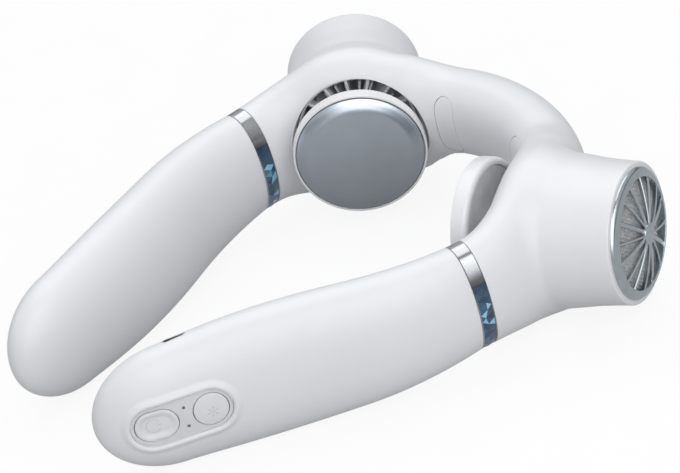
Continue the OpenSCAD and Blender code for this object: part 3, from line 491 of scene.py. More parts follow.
# %% [markdown]
# ## The panel's place and the soft border round it
# The panel lies in the outer side of the arm. Its frame comes from two points of the
# arm's outside, 20 mm before and after its middle. In the picture a broad soft border
# rises round it: light on its upper slope, shaded on its lower one. On the arm's grid
# that is a push outwards that fades with the distance from the panel's outline.

# %% Panel axes and border
PANEL_AT, PANEL_LONG, PANEL_TALL, PANEL_SUNK = 116.3, 40.0, 17.6, 0.9


def arm_outside(s):
    """Outermost point of the arm in plan at length s, also over the round tip."""
    half_w, _ = half_sizes(s)
    over = np.clip((s - BODY) / CAP, 0, 1)
    return arm_point(s) + side_of(s) * (half_w * np.sqrt(1 - over ** 2))[..., None]


ends = arm_outside(np.array([PANEL_AT - PANEL_LONG / 2, PANEL_AT + PANEL_LONG / 2]))
chord = ends[0] - ends[1]
PANEL_TURN = np.degrees(np.arctan2(chord[1], chord[0]))
PANEL_OUT = np.array([np.sin(np.radians(PANEL_TURN)), -np.cos(np.radians(PANEL_TURN))])
middle = arm_outside(np.array([PANEL_AT]))[0]
PANEL_MIDDLE = np.array([*(middle - PANEL_OUT * PANEL_SUNK), arm_drop(np.array(PANEL_AT))])
rise_long = (middle - ends.mean(0)) @ PANEL_OUT
_, tall_there = half_sizes(np.array(PANEL_AT))
rise_round = half_sizes(np.array(PANEL_AT))[0] * (
    1 - (1 - (PANEL_TALL / 2 / tall_there) ** FULLNESS) ** (1 / FULLNESS))
LONG_R = (np.linalg.norm(chord) / 2) ** 2 / (2 * rise_long) + rise_long / 2
ROUND_R = (PANEL_TALL / 2) ** 2 / (2 * rise_round) + rise_round / 2


def on_panel(points):
    """Panel axes to level axes: Y becomes up and Z outwards, then a turn in plan."""
    x, y, z = np.moveaxis(np.asarray(points, float), -1, 0)
    across, back = turned(x, -z, PANEL_TURN)
    return np.stack([across, back, y], -1) + PANEL_MIDDLE


def off_panel(points):
    """Level axes to panel axes, the reverse of on_panel."""
    across, back, up = np.moveaxis(np.asarray(points, float) - PANEL_MIDDLE, -1, 0)
    x, z = turned(across, back, -PANEL_TURN)
    return np.stack([x, up, -z], -1)


def barrel(x, y):
    """Height of the panel's face: it falls along two circles, x²/2R and y²/2r."""
    return (np.sqrt(LONG_R ** 2 - x ** 2) - LONG_R) + (np.sqrt(ROUND_R ** 2 - y ** 2) - ROUND_R)


def stadium_distance(x, y, length, height):
    """Distance outside a stadium: from its middle line, less half its height."""
    half = (length - height) / 2
    return np.hypot(x - np.clip(x, -half, half), y) - height / 2


def ease(x):
    """The smooth step from 0 to 1: three squares less two cubes of x."""
    c = np.clip(x, 0, 1)
    return c * c * (3 - 2 * c)


BORDER_RISE, BORDER_WIDE = 0.85, 2.7
EDGE_FALL, EDGE_WIDE = 0.8, 1.1


def with_border(points):
    """Pushes the arm's outer skin out by BORDER_RISE round the panel, and by less with
    the distance from it, along a smooth step BORDER_WIDE across. Next to the panel it
    falls again by EDGE_FALL, along a parabola EDGE_WIDE across: the rounded edge."""
    x, y, z = np.moveaxis(off_panel(points), -1, 0)
    away = stadium_distance(x, y, PANEL_LONG, PANEL_TALL)
    push = BORDER_RISE * (1 - ease((away - EDGE_WIDE) / BORDER_WIDE))
    push = (push - EDGE_FALL * (1 - np.clip(away / EDGE_WIDE, 0, 1)) ** 2) * (z > -6)
    return points + push[..., None] * np.array([*PANEL_OUT, 0])


print("panel middle:", np.round(PANEL_MIDDLE, 3), "long radius", round(float(LONG_R), 1))

# %% [markdown]
# ## Pads: panel, buttons and cutting tools
# A stadium outline drawn inwards step by step ends in a straight line. Rows of such
# outlines make a pad whose top can be any function of x and y, with a rounded edge.
# The same rows also make the tools that cut the holes, so hole and pad always match.

# %% Pad surface


def stadium_ring(inset, length, height, arc=24, straight=12):
    """Points round a stadium drawn inwards by inset: two half circles of the radius
    height/2 - inset round the ends of the middle line, and straight sides between."""
    half, r = (length - height) / 2, height / 2 - inset
    a = np.linspace(-np.pi / 2, np.pi / 2, arc)
    side = np.linspace(half, -half, straight + 2)[1:-1] if half > 0 else np.zeros(0)
    one = np.ones_like(side)
    x = np.concatenate([half + 0 * a, side, -half + 0 * a, -side])
    cx = np.concatenate([np.cos(a), 0 * one, -np.cos(a), 0 * one])
    cy = np.concatenate([np.sin(a), one, -np.sin(a), -one])
    return x + cx * np.asarray(r)[..., None], cy * np.asarray(r)[..., None]


def pad_points(length, height, top, bottom, edge, rows=16, arc=24, straight=12):
    """A pad with a flat bottom, an upright side and the face top(x, y). Over the
    outermost edge millimetres the face comes down along a quarter circle."""
    centre = height / 2
    turn = np.linspace(0, np.pi / 2, 6)
    inset = np.concatenate([[centre, centre / 2, 0, 0], edge * (1 - np.cos(turn)),
                            edge + (centre - edge) * np.linspace(0, 1, rows)[1:]])
    x, y = stadium_ring(inset, length, height, arc, straight)
    fall = edge - np.sqrt(np.maximum(edge ** 2 - np.maximum(edge - inset, 0) ** 2, 0))
    z = top(x, y) - fall[:, None]
    z[:3] = bottom
    z[3] = (bottom + z[4]) / 2
    return np.stack([x, y, z], -1)


def pad(name, place, length, height, top, bottom, edge, centre=(0, 0), **counts):
    """A pad at centre on the axes that place brings to the level axes."""
    points = pad_points(length, height, lambda x, y: top(x + centre[0], y + centre[1]),
                        bottom, edge, **counts)
    points[..., 0] += centre[0]
    points[..., 1] += centre[1]
    rows, columns = points.shape[:2]
    return build(name, place(points).reshape(-1, 3), [grid_faces(rows, columns)], merge=2e-6)


def flat_at(height):
    """The level top of a pad."""
    return lambda x, y: height + 0 * x


def tool(place, length, height, centre=(0, 0), low=-5, high=6, **counts):
    """A sharp-edged pad that cuts a hole of its own outline."""
    return pad("tool", place, length, height, flat_at(high), low, 0.01, centre, rows=3, **counts)


# %% [markdown]
# ## The left arm, with its panel hole and socket slot
# The rows and columns are close together near the panel, so that its soft border is
# smooth, and far apart elsewhere. The hole for the panel and the slot for the charging
# socket are cut through the wall.

# %% Left arm
near_panel = np.radians(np.linspace(-36, 36, 75))
far_side = np.radians(np.linspace(36, 324, 98)[1:-1])
section = np.concatenate([near_panel, far_side])
body_rows = np.concatenate([np.linspace(RIM_ROUND, 88, 38), np.linspace(88, BODY, 60)[1:]])
tip_rows = np.concatenate([np.linspace(0, 1.15, 66)[1:], np.linspace(1.15, np.pi / 2, 12)[1:]])
s, q, inset = arm_rows(body_rows, tip_rows)
left_skin = arm_surface(s, q, inset, section)
outer = (inset < 0.6)[:, None, None]
left_skin = np.where(outer, with_border(left_skin), left_skin)
left_arm = build("left_arm", left_skin.reshape(-1, 3), [grid_faces(*left_skin.shape[:2])])
print("left arm grid:", left_skin.shape[:2])

SOCKET_AT, SOCKET_IN, SOCKET_TILT = 109.0, 3.0, 15.0
SLOT_LONG, SLOT_TALL = 9.5, 3.6
socket_w, socket_t = half_sizes(np.array(SOCKET_AT))
SOCKET_UP = float(arm_drop(np.array(SOCKET_AT)) + socket_t * (
    1 - (SOCKET_IN / socket_w) ** FULLNESS) ** (1 / FULLNESS))


def at_socket(points):
    """Socket axes, X along the arm and Z out of it, to level axes: tilted inwards."""
    x, y, z = np.moveaxis(np.asarray(points, float), -1, 0)
    across, along = turned(x, y, 90)
    across, up = turned(across, z, SOCKET_TILT)
    across, along = turned(across, along, -arm_lean(SOCKET_AT))
    plan = arm_point(SOCKET_AT) - side_of(SOCKET_AT) * SOCKET_IN
    return np.stack([across + plan[0], along + plan[1], up + SOCKET_UP], -1)


carve(left_arm, tool(on_panel, PANEL_LONG, PANEL_TALL, low=-4, high=5))
carve(left_arm, tool(at_socket, SLOT_LONG, SLOT_TALL))
dress(left_arm, "housing", white, "white", "left_arm_shell")

# %% [markdown]
# ## The right arm
# It is the left one's mirror image without controls, so even rows and columns do.

# %% Right arm
plain_rows = arm_rows(np.linspace(RIM_ROUND, BODY, 60), np.linspace(0, np.pi / 2, 34)[1:])
right_skin = arm_surface(*plain_rows, np.linspace(0, 2 * np.pi, 128, endpoint=False))
right_skin[..., 0] *= -1
right_arm = build("right_arm", right_skin.reshape(-1, 3), [grid_faces(*right_skin.shape[:2])])
dress(right_arm, "housing", white, "white", "right_arm_shell")

# %% [markdown]
# ## The neck body: a field instead of a grid
# The band and both pods are one moulding with soft blends, and no single grid follows
# that shape well. So it is written as a field: a function of space that is negative
# inside the plastic. The band's field measures how far a point is outside the oval
# section at the nearest place of its curve, and a pod's field how far outside its
# turned profile. A soft minimum joins them with a fillet.

# %% The band's curve
BAND, BAND_BACK, BAND_RISE = np.array([56.3, 36.2]), 12.3, 2.8
ARC_END, PULL, RING_BACK, BEYOND = 35, 24, 5.9, 14
CURVE_STEPS, BEYOND_STEPS = 260, 40


def on_arc(angle):
    """Place on the arc behind the neck, and its direction: an ellipse in plan."""
    c, s = np.cos(angle), np.sin(angle)
    way = np.stack([BAND[0] * s, -BAND[1] * c], -1)
    return (np.stack([BAND[0] * c, BAND_BACK + BAND[1] * s], -1),
            way / np.linalg.norm(way, axis=-1, keepdims=True))


t = np.radians(np.linspace(90, ARC_END, CURVE_STEPS))
arc, run = on_arc(t)
ahead = np.array([-np.sin(np.radians(JOINT_LEAN)), -np.cos(np.radians(JOINT_LEAN))])
finish_at = JOINT - ahead * RING_BACK
x = np.linspace(0, 1, CURVE_STEPS)[1:, None]
curve = ((1 - x) ** 3 * arc[-1] + 3 * (1 - x) ** 2 * x * (arc[-1] + run[-1] * PULL)
         + 3 * (1 - x) * x ** 2 * (finish_at - ahead * PULL) + x ** 3 * finish_at)
beyond = finish_at + ahead * np.linspace(0, BEYOND, BEYOND_STEPS)[1:, None]
PATH = np.concatenate([arc, curve, beyond])
SHARE = np.concatenate([np.linspace(0, 0.5, CURVE_STEPS), 0.5 + x[:, 0] / 2,
                        np.ones(len(beyond))])
RISE = BAND_RISE * np.concatenate([np.sin(t), np.sin(t[-1]) * (1 - x[:, 0]) ** 2,
                                   np.zeros(len(beyond))])
GONE = np.concatenate([[0], np.cumsum(np.linalg.norm(np.diff(PATH, axis=0), axis=1))])
ALONG = np.gradient(PATH, axis=0)
ALONG /= np.linalg.norm(ALONG, axis=1, keepdims=True)
print("band curve, middle to joint:", round(float(GONE[-len(beyond) - 1]), 1), "mm")


def nearest_on_band(px, py):
    """Distance across the curve and length along it, for plan points: the nearest
    sample, then the parts of the step from it across and along the curve there."""
    p = np.stack([np.abs(px).ravel(), py.ravel()], -1)
    near = np.concatenate([
        ((part[:, None, 0] - PATH[:, 0]) ** 2 + (part[:, None, 1] - PATH[:, 1]) ** 2).argmin(1)
        for part in np.array_split(p, max(1, len(p) // 20000))])
    step, way = p - PATH[near], ALONG[near]
    across = step[:, 1] * way[:, 0] - step[:, 0] * way[:, 1]
    return across.reshape(px.shape), (GONE[near] + (step * way).sum(1)).reshape(px.shape)

# %% [markdown]
# ## The fields of band and pods
# The profile of a pod has straight pieces between measured radii; a short blur along
# its length rounds them. The soft minimum takes a bite of the difference of two fields
# where they are close, which is what makes the fillet.

# %% Fields
POD_Z = np.array([10, 17.8, 20.2, 22.9, 28, 34, 38, 43.6, 52, 60.4, 66, 80])
POD_R = np.array([18.6, 26.4, 28.8, 31.35, 32.75, 31.6, 30.1, 29.45, 28.3, 27.68, 27.45, 27.2])
FINE_Z = np.linspace(5, 75, 1401)
blur = np.exp(-np.linspace(-3, 3, 121) ** 2 / 2)
FINE_R = np.convolve(np.interp(np.linspace(2, 78, 1521), POD_Z, POD_R), blur / blur.sum(), "valid")
SLOPE = np.gradient(FINE_R, FINE_Z)
LIP_AT, LIP_ROUND, POD_END, FILLET = 17.8, 2.2, 68, 3.5
# widths and heights of the casing at the band and beside the pods
BAND_WIDE, POD_WIDE, BAND_TALL, POD_TALL = 27.3, 26.6, 36.2, 62


def casing_size(band, pod, joint, share):
    """Size along the curve: band, then a smooth step to pod and one to joint."""
    first = band + (pod - band) * ease((share - 0.28) / 0.42)
    return first + (joint - pod) * ease((share - 0.7) / 0.3)


def soft_min(a, b, width):
    """The smaller of two fields, less a bite where they are closer than width."""
    h = np.maximum(width - np.abs(a - b), 0) / width
    return np.minimum(a, b) - h * h * width / 4


def band_field(across, gone, z):
    """First-order distance outside the oval: (g - 1) over the length of g's slope,
    where g is the section's own measure, 1 on the surface."""
    share = np.interp(gone, GONE, SHARE)
    w = casing_size(BAND_WIDE, POD_WIDE, JOINT_WIDE, share) / 2
    t = casing_size(BAND_TALL, POD_TALL, JOINT_TALL, share) / 2
    a, b = np.abs(across) / w + 1e-6, np.abs(z - np.interp(gone, GONE, RISE)) / t + 1e-6
    g = (a ** FULLNESS + b ** FULLNESS) ** (1 / FULLNESS)
    steep = g ** (1 - FULLNESS) * np.hypot(a ** (FULLNESS - 1) / w, b ** (FULLNESS - 1) / t)
    return (g - 1) / np.maximum(steep, 0.02)


def pod_field(px, py, z):
    """Distance outside the turned profile, cut off with a soft edge at the lip."""
    out, across = turned(np.abs(px) - POD_X, py, -POD_TURN)
    r = np.hypot(across, z)
    side = (r - np.interp(out, FINE_Z, FINE_R)) / np.hypot(1, np.interp(out, FINE_Z, SLOPE))
    return np.maximum(-soft_min(-side, out - LIP_AT, LIP_ROUND), out - POD_END)


def neck_field(px, py, z, across=None, gone=None):
    """Distance outside band and pods: the soft minimum of their two fields."""
    if across is None:
        across, gone = nearest_on_band(px, py)
    return soft_min(band_field(across, gone, z), pod_field(px, py, z), FILLET)


# %% [markdown]
# ## From the field to a mesh
# The field is sampled on a lattice. Every lattice cell that the surface crosses gets
# one point, at the mean of its crossings, and every crossed lattice edge gets a square
# between the four cells round it. Then each point slides onto the surface along the
# field's slope. This is known as surface nets, and it is all array work.

# %% Surface nets


def surface_nets(field, low, step):
    """Points and squares of the zero surface of a sampled field, whose outermost
    samples are all outside. A crossed edge of the lattice lies between four cells."""
    total = np.zeros((*(n - 1 for n in field.shape), 3))
    count = np.zeros(total.shape[:3])
    squares = []
    for axis in range(3):
        a = np.moveaxis(field, axis, 0)
        share = a[:-1] / np.where(a[:-1] == a[1:], 1, a[:-1] - a[1:])
        hit = np.moveaxis((a[:-1] < 0) != (a[1:] < 0), 0, axis)
        at = np.stack(np.nonzero(hit), -1)
        crossing = at.astype(float)
        crossing[:, axis] += np.moveaxis(share, 0, axis)[hit]
        cells = np.repeat(at[:, None], 4, 1)
        cells[..., (axis + 1) % 3] += [0, -1, -1, 0]
        cells[..., (axis + 2) % 3] += [0, 0, -1, -1]
        index = tuple(np.moveaxis(cells, -1, 0))
        np.add.at(total, index, crossing[:, None])
        np.add.at(count, index, 1)
        first_inside = field[tuple(at.T)] < 0
        squares.append(np.where(first_inside[:, None, None], cells, cells[:, ::-1]))
    used = count > 0
    number = np.full(count.shape, -1)
    number[used] = np.arange(used.sum())
    points = total[used] / count[used][:, None] * step + low
    return points, number[tuple(np.moveaxis(np.concatenate(squares), -1, 0))]


LATTICE = 1.05
low, high = np.array([-117.0, -40.0, -37.0]), np.array([117.0, 66.0, 37.0])
counts = np.ceil((high - low) / LATTICE).astype(int)
gx, gy, gz = (low[k] + LATTICE * np.arange(counts[k]) for k in range(3))
plan = np.meshgrid(gx, gy, indexing="ij")
sampled = neck_field(*(p[..., None] for p in plan), gz,
                     *(p[..., None] for p in nearest_on_band(*plan)))
closed = np.pad(sampled[1:-1, 1:-1, 1:-1], 1, constant_values=1)
net_points, net_faces = surface_nets(closed, low, LATTICE)
print("neck body:", len(net_points), "points,", len(net_faces), "squares")

# %% Slide the points onto the surface


def slope_of(p, h=0.02):
    """Slope of the field from small steps both ways along each axis."""
    parts = []
    for axis in range(3):
        step = np.zeros(3)
        step[axis] = h
        parts.append((neck_field(*(p + step).T) - neck_field(*(p - step).T)) / (2 * h))
    return np.stack(parts, -1)


for turn in range(2):
    value, slope = neck_field(*net_points.T), slope_of(net_points)
    move = value / np.maximum((slope ** 2).sum(1), 0.05)
    net_points = net_points - np.clip(move, -1.5, 1.5)[:, None] * slope
left_over = np.abs(neck_field(*net_points.T))[net_points[:, 1] > -30]
print("largest distance left:", round(float(left_over.max()), 4), "mm")

# %% [markdown]
# ## Cutting the pods' bores and the joints' ends
# A turned tool opens each pod: the wide mouth behind the disc, the duct round the fan,
# the seat for the grille, and everything past the outer rim, which is a piece of its
# own. A block cuts the casing square where the ring begins. The pads in the band's
# inner face get pockets from pad tools.

# %% Neck body
neck_body = build("neck_body", net_points, [net_faces], merge=None)
bore_profile = [(0, -2), (28, -2), (28, 7.6), (25.1, 17.8), (24.6, 23.4), (22.6, 23.4),
                (22.6, 50), (25, 50), (25, 62.6), (42, 62.6), (42, 90), (0, 90)]
BLOCK = np.array([(-35, -40), (35, -40), (35, 40), (-35, 40)], float)
BLOCK_FROM, BLOCK_TO = -RING_BACK, 30.0


def joint_block(side):
    """A block over the casing's end, from the ring's edge forwards."""
    rows = [np.insert(BLOCK, 2, z, axis=1) for z in (BLOCK_FROM, BLOCK_TO)]
    return build("tool", at_joint(np.concatenate(rows), side), tube_faces(1, 2, 4))


for side, _ in SIDES:
    carve(neck_body, pod_piece("tool", [turned_part(bore_profile, 180)], side))
for side, _ in SIDES:
    carve(neck_body, joint_block(side))
print("openings cut:", 2 * len(SIDES))

# %% [markdown]
# ## The stadium pads in the band's inner face
# They are flush with the band and show only as a fine outline. The pocket is cut with
# a pad tool, and the pad itself takes its face from the same field: each of its points
# slides outwards until it lies on the band's surface.

# %% Band pads
PAD_ANGLE = np.radians(90 - 55 * 5 / 9)
PAD_FLOOR, PAD_SIZE, POCKET_SIZE = 6.5, (26, 8.8), (26.5, 9.3)
pad_at, pad_run = on_arc(PAD_ANGLE)
pad_in = np.array([pad_run[1], -pad_run[0]])


def on_band(side):
    """Axes of a band pad: X up along its long way, Y along the band, Z to the neck."""
    def place(points):
        up, along, out = np.moveaxis(np.asarray(points, float), -1, 0)
        plan = pad_at - along[..., None] * pad_run + out[..., None] * pad_in
        return np.stack([plan[..., 0] * side, plan[..., 1],
                         up + BAND_RISE * np.sin(PAD_ANGLE)], -1)
    return place


def band_face(x, y):
    """Height of the band's inner face over the pad's axes, by sliding along Z until
    the field is zero."""
    z = np.full(x.shape, 13.0)
    for turn in range(12):
        z = z - neck_field(*np.moveaxis(on_band(1)(np.stack([x, y, z], -1)), -1, 0)) * 0.9
    return z


for side, name in SIDES:
    carve(neck_body, tool(on_band(side), *POCKET_SIZE, low=PAD_FLOOR, high=20))
    band_pad = pad(name + "_band_pad", on_band(side), *PAD_SIZE, band_face, PAD_FLOOR, 0.15,
                   rows=12)
    dress(band_pad, "housing", white, "white", name + "_band_inlay")
dress(neck_body, "housing", white, "white", "neck_shell")

# %% [markdown]
# ## Pod rims
# The outer end of each pod is a crisp white rim round the grille. A turned ring gives it
# a clean edge, which the lattice of the neck body is too coarse for.

# %% Pod rims
RIM_IN, RIM_FROM, RIM_OUT, RIM_TO = 25.02, 62.4, 27.5, 65.98
outside = float(np.interp(RIM_FROM, FINE_Z, FINE_R)) + 0.02
profile = rounded_profile([(RIM_IN, RIM_FROM, 0), (outside, RIM_FROM, 0),
                           (RIM_OUT, RIM_TO, 0.8), (RIM_IN, RIM_TO, 0.3)])
for side, name in SIDES:
    rim = pod_piece(name + "_pod_rim", [turned_part(profile)], side)
    dress(rim, "housing", white, "white")

# %% [markdown]
# ## Metals
# The grille is satin metal with a blue-grey cast, the disc plate is polished, and the
# ring at the joint is bright chrome. All three take their look from what they mirror,
# so their own colour is plain apart from the painted shade below, and only fine
# scratches disturb the gloss. The plate mirrors the floor, which is darker close under
# it, so its colour carries a painted shade that darkens it downwards and a painted
# highlight that lightens it upwards. The chrome's colour carries a painted shade that
# is darkest where the crystals begin.

# %% Metals
grille_metal = finish("blue_grey_satin_metal", ((0.52, 0.58, 0.62), (0.58, 0.64, 0.68)), 3,
                      0.3, 0.003, (0.18, 0.26), Metallic=1.0)
plate_metal = finish("polished_plate_metal_painted_shade", ((0.46, 0.505, 0.555), (0.5, 0.55, 0.605)), 18,
                     0.35, 0.0015, (0.27, 0.33), Metallic=1.0)
# Painted shade and highlight: the plate's colour is darker low down and lighter high up.
paint_shade_and_light_by_height(plate_metal, 8, 56, 0.66, 1.3)
chrome = finish("bright_chrome_painted_shade", ((0.56, 0.58, 0.6), (0.6, 0.62, 0.64)), 5,
                0.6, 0.001, (0.17, 0.22), Metallic=1.0)
# Painted shade: the chrome's colour is darkest at the height where the crystals begin and lighter
# away from it.
paint_shade_and_light_by_height(chrome, 40.5, 50, 0.26, 0.92)
# The wires' colour wanders from grey to pure white over small patches: partly random tone, partly
# painted glints standing in for sparkle.
mesh_wire_painted_glints = finish("grey_mesh_wire_painted_glints", ((0.6, 0.61, 0.625), (1.0, 1.0, 1.0)), 1.2,
                    0.3, 0.004, (0.3, 0.45), Metallic=0.3)

# %% [markdown]
# ## Intake grilles
# The grille is a low dome. Its outer ring carries a small disc on sixteen spokes: eight
# broad ones, and between them eight thin ones that stand higher and catch the light.
# Ring and disc are turned; all spokes of one kind are one array of bars that follow
# the dome.

# %% Grille pieces
DOME_AT, DOME_R, DOME_RISE = 67.1, 25.6, 4.3
GRILLE_IN, GRILLE_OUT, GRILLE_BACK, HUB_R, HUB_BACK = 21.7, 25.55, 65.2, 4.2, 69.6
SPOKE_ROWS, SPOKE_SIDES = 9, 6


def dome(r):
    """Height of the grille's face at radius r: a parabola, DOME_RISE high."""
    return DOME_AT + DOME_RISE * (1 - (r / DOME_R) ** 2)


def spokes_part(count, first_angle, start, end, wide, low, high, face=dome):
    """Bars from radius start to end, count of them round the axis. face gives the
    height from which low and high are counted. The section is a rectangle wide by
    high - low, whose edges at high are cut off at 45 degrees."""
    edge = 0.28 * min(wide, abs(high - low))
    y = np.array([-wide / 2, wide / 2, wide / 2, wide / 2 - edge, -wide / 2 + edge, -wide / 2])
    drop = edge * np.sign(high - low)
    z = np.array([low, low, high - drop, high, high, high - drop])
    r = np.linspace(start, end, SPOKE_ROWS)[:, None]
    a = np.radians(first_angle) + 2 * np.pi * np.arange(count)[:, None, None] / count
    x3, y3, z3 = np.broadcast_arrays(r * np.cos(a) - y * np.sin(a),
                                     r * np.sin(a) + y * np.cos(a), z + face(r))
    return np.stack([x3, y3, z3], -1), tube_faces(count, SPOKE_ROWS, SPOKE_SIDES)


ring = rounded_profile([(GRILLE_IN, 66.5, 0.1), (24.9, GRILLE_BACK, 0.1),
                        (GRILLE_OUT, GRILLE_BACK, 0.1), (GRILLE_OUT, dome(GRILLE_OUT), 1.6),
                        (GRILLE_IN, dome(GRILLE_IN), 0.35)], steps=9)
hub = rounded_profile([(0, HUB_BACK, 0), (HUB_R, HUB_BACK, 0), (HUB_R, dome(HUB_R), 0.35),
                       (0, dome(0), 0)])[4:-4]
parts = [turned_part(ring), turned_part(hub, 96, closed=False),
         spokes_part(8, 0, 3.6, 22.4, 1.8, -1.7, -0.6),
         spokes_part(8, 22.5, 3.6, 22.4, 1.0, -1.7, -0.1)]
for side, name in SIDES:
    grille = pod_piece(name + "_grille", parts, side, crease=25)
    dress(grille, "housing", grille_metal, "grille", name + "_intake_grille")

# %% [markdown]
# ## Outlet vanes
# Behind each disc sixteen straight white vanes stand between a small hub and a thin
# rim, just inside the pod's lip. They are bars like the spokes, on a flat face.

# %% Vane rings
VANE_FROM, VANE_TO, VANES = 18.5, 23.3, 16


def vane_ring(inner, outer, edge):
    """A ring of the vanes' depth between two radii, rounded towards the disc."""
    return turned_part(rounded_profile([(inner, VANE_FROM, 0.2), (outer, VANE_FROM, edge),
                                        (outer, VANE_TO, 0), (inner, VANE_TO, 0)]))


parts = [vane_ring(23.8, 24.5, 0.2), vane_ring(6.35, 10.5, 0.4),
         spokes_part(VANES, 0, 10.2, 24.1, 1.2, VANE_TO - 0.1, VANE_FROM + 0.1,
                     lambda r: 0 * r)]
for side, name in SIDES:
    vanes = pod_piece(name + "_vanes", parts, side, crease=25)
    dress(vanes, "housing", cup_white, "white", name + "_vane_ring")

# %% [markdown]
# ## Dust mesh
# Behind the spokes lies a woven mesh that sparkles, partly through painted glints in the
# wires' colour. It is really woven here: each wire is a thin tube along a sine wave, and
# the wires of the other direction run along the opposite wave, so they pass over and
# under each other.

# %% Woven mesh
PITCH, WIRE, WAVE, MESH_R, MESH_AT = 1.0, 0.2, 0.2, 24.7, 63.5
WIRE_ROWS = 99


def wires(across):
    """Wires along X at y = k PITCH: z = WAVE cos(pi x / PITCH + pi k) on the grille's
    dome, each with four sides, cut off at the circle's edge. across swaps X and Y."""
    k = np.arange(-24, 25)[:, None]
    y = k * PITCH
    x = np.sqrt(MESH_R ** 2 - y ** 2) * np.linspace(-1, 1, WIRE_ROWS)
    z = WAVE * np.cos(np.pi * (x / PITCH + k)) * (-1 if across else 1)
    z = z + MESH_AT + DOME_RISE * (1 - (x ** 2 + y ** 2) / MESH_R ** 2)
    a = np.radians([45, 135, 225, 315])
    px, py, pz = np.broadcast_arrays(x[..., None], y[..., None] + WIRE * np.cos(a),
                                     z[..., None] + WIRE * np.sin(a))
    points = np.stack([py, px, pz] if across else [px, py, pz], -1)
    return points, tube_faces(len(k), WIRE_ROWS, len(a))


for side, name in SIDES:
    mesh_piece = pod_piece(name + "_mesh", [wires(False), wires(True)], side, merge=1e-9)
    dress(mesh_piece, "housing", mesh_wire_painted_glints, "mesh", name + "_intake_mesh")

# %% [markdown]
# ## Cooling discs
# The disc that touches the neck is a metal plate in a white cup. Its middle is nearly
# flat, and a broad bevel runs round it, which draws the bright crescent in the picture.
# A fine dark gap divides plate and cup.

# %% Cups and plates
PLATE_R, PROUD, PLATE_BACK, DISC_SIDES = 25.75, 2.05, 1.9, 160
CUP_R, CUP_BACK = 27, 6.6
slope = [(0, -PROUD - 0.2, 0), (21.3, -PROUD, 1.4), (24.6, -0.75, 0.9), (PLATE_R, 0.05, 0.35),
         (PLATE_R, PLATE_BACK, 0), (21.4, PLATE_BACK, 0), (21.4, 1.05, 0), (0, 1.05, 0)]
plate_part = turned_part(rounded_profile(slope, steps=9)[8:-8], DISC_SIDES, closed=False)
cup_part = turned_part(rounded_profile(
    [(26.1, 0.05, 0.25), (CUP_R, 0.05, 0.4), (CUP_R, CUP_BACK, 2.4), (23.9, CUP_BACK, 0.3),
     (23.9, 4.4, 0), (21.5, 4.4, 0), (21.5, 2, 0), (26.1, 2, 0)], steps=9), DISC_SIDES)
for side, name in SIDES:
    plate = pod_piece(name + "_plate", [plate_part], side)
    dress(plate, "housing", plate_metal, "plate", name + "_cold_plate")
    cup = pod_piece(name + "_cup", [cup_part], side)
    dress(cup, "housing", cup_white, "white", name + "_disc_cup")

# %% [markdown]
# ## Trim rings and their crystals
# The ring between pod and arm is chrome over its upper part. Its lower part holds a
# band of blue cut crystal, whose triangular facets show light and dark blues. The ring
# is an oval profile carried round; the crystals are a zigzag of triangles between two
# edges and a ridge, and each facet carries its own tint as an attribute. The facets
# are darker near the chrome.

# %% Oval of the joint
LIGHT_TOP = 10.0


def oval_row(angle, inset, z):
    """Points of the joint's section at z, drawn inwards by inset: w cos', t sin'."""
    x = (JOINT_WIDE / 2 - inset) * full(np.cos(angle))
    return np.stack([x, (JOINT_TALL / 2 - inset) * full(np.sin(angle)), 0 * x + z], -1)


dense = np.linspace(0, 2 * np.pi, 2001)
steps = np.linalg.norm(np.diff(oval_row(dense, 0, 0), axis=0), axis=1)
OVAL_GONE = np.concatenate([[0], np.cumsum(steps)])
TURN_AT = np.arcsin((LIGHT_TOP / (JOINT_TALL / 2)) ** (FULLNESS / 2))


def angle_at(gone):
    """Angle at a length along the oval, by looking up its table of lengths."""
    return np.interp(gone, OVAL_GONE, dense)


print("round the ring:", round(float(OVAL_GONE[-1]), 1), "mm")

# %% Trim rings
NICK = np.array([-2e-4, 2e-4])
angles = np.sort(np.concatenate([angle_at(np.linspace(0, OVAL_GONE[-1], 181)[:-1]),
                                 np.pi - TURN_AT + NICK, TURN_AT + NICK]))
low_part = (angles > np.pi - TURN_AT) | (angles < TURN_AT)
# place along the joint, depth, and depth of the groove for the crystals
RING_ROWS = [(-5.85, 1.8, 0), (-5.85, 0.3, 0), (-5.8, 0.1, 0), (-5.68, 0, 0), (-5.56, 0, 0),
             (-5.54, 0, 1.2), (-0.36, 0, 1.2), (-0.34, 0, 0), (-0.22, 0, 0), (-0.1, 0.1, 0),
             (-0.05, 0.3, 0), (-0.05, 1.8, 0)]
grid = np.array([oval_row(angles, depth + groove * low_part, z)
                 for z, depth, groove in RING_ROWS])
ring_faces = [grid_faces(*grid.shape[:2], wrap_rows=True)]
for side, name in SIDES:
    ring = build(name + "_ring", at_joint(grid, side).reshape(-1, 3), ring_faces, merge=1e-8)
    dress(ring, "housing", chrome, "chrome", name + "_trim_ring")

# %% Crystal material
crystal = material("blue_cut_crystal", (0.03, 0.1, 0.2), Roughness=0.08, Coat_Weight=0.6,
                   Coat_Roughness=0.03, IOR=1.6)
CRYSTAL_BLUES = [(0, (0.012, 0.038, 0.08)), (0.6, (0.035, 0.11, 0.2)),
                 (0.74, (0.06, 0.19, 0.3)), (0.8, (0.2, 0.5, 0.7)), (1, (0.32, 0.62, 0.8))]
facet_tint = add(crystal, "Attribute", attribute_name="facet").outputs["Fac"]
join(crystal, ramp(crystal, facet_tint, CRYSTAL_BLUES), "Base Color")
print("blues in the crystals:", len(CRYSTAL_BLUES))

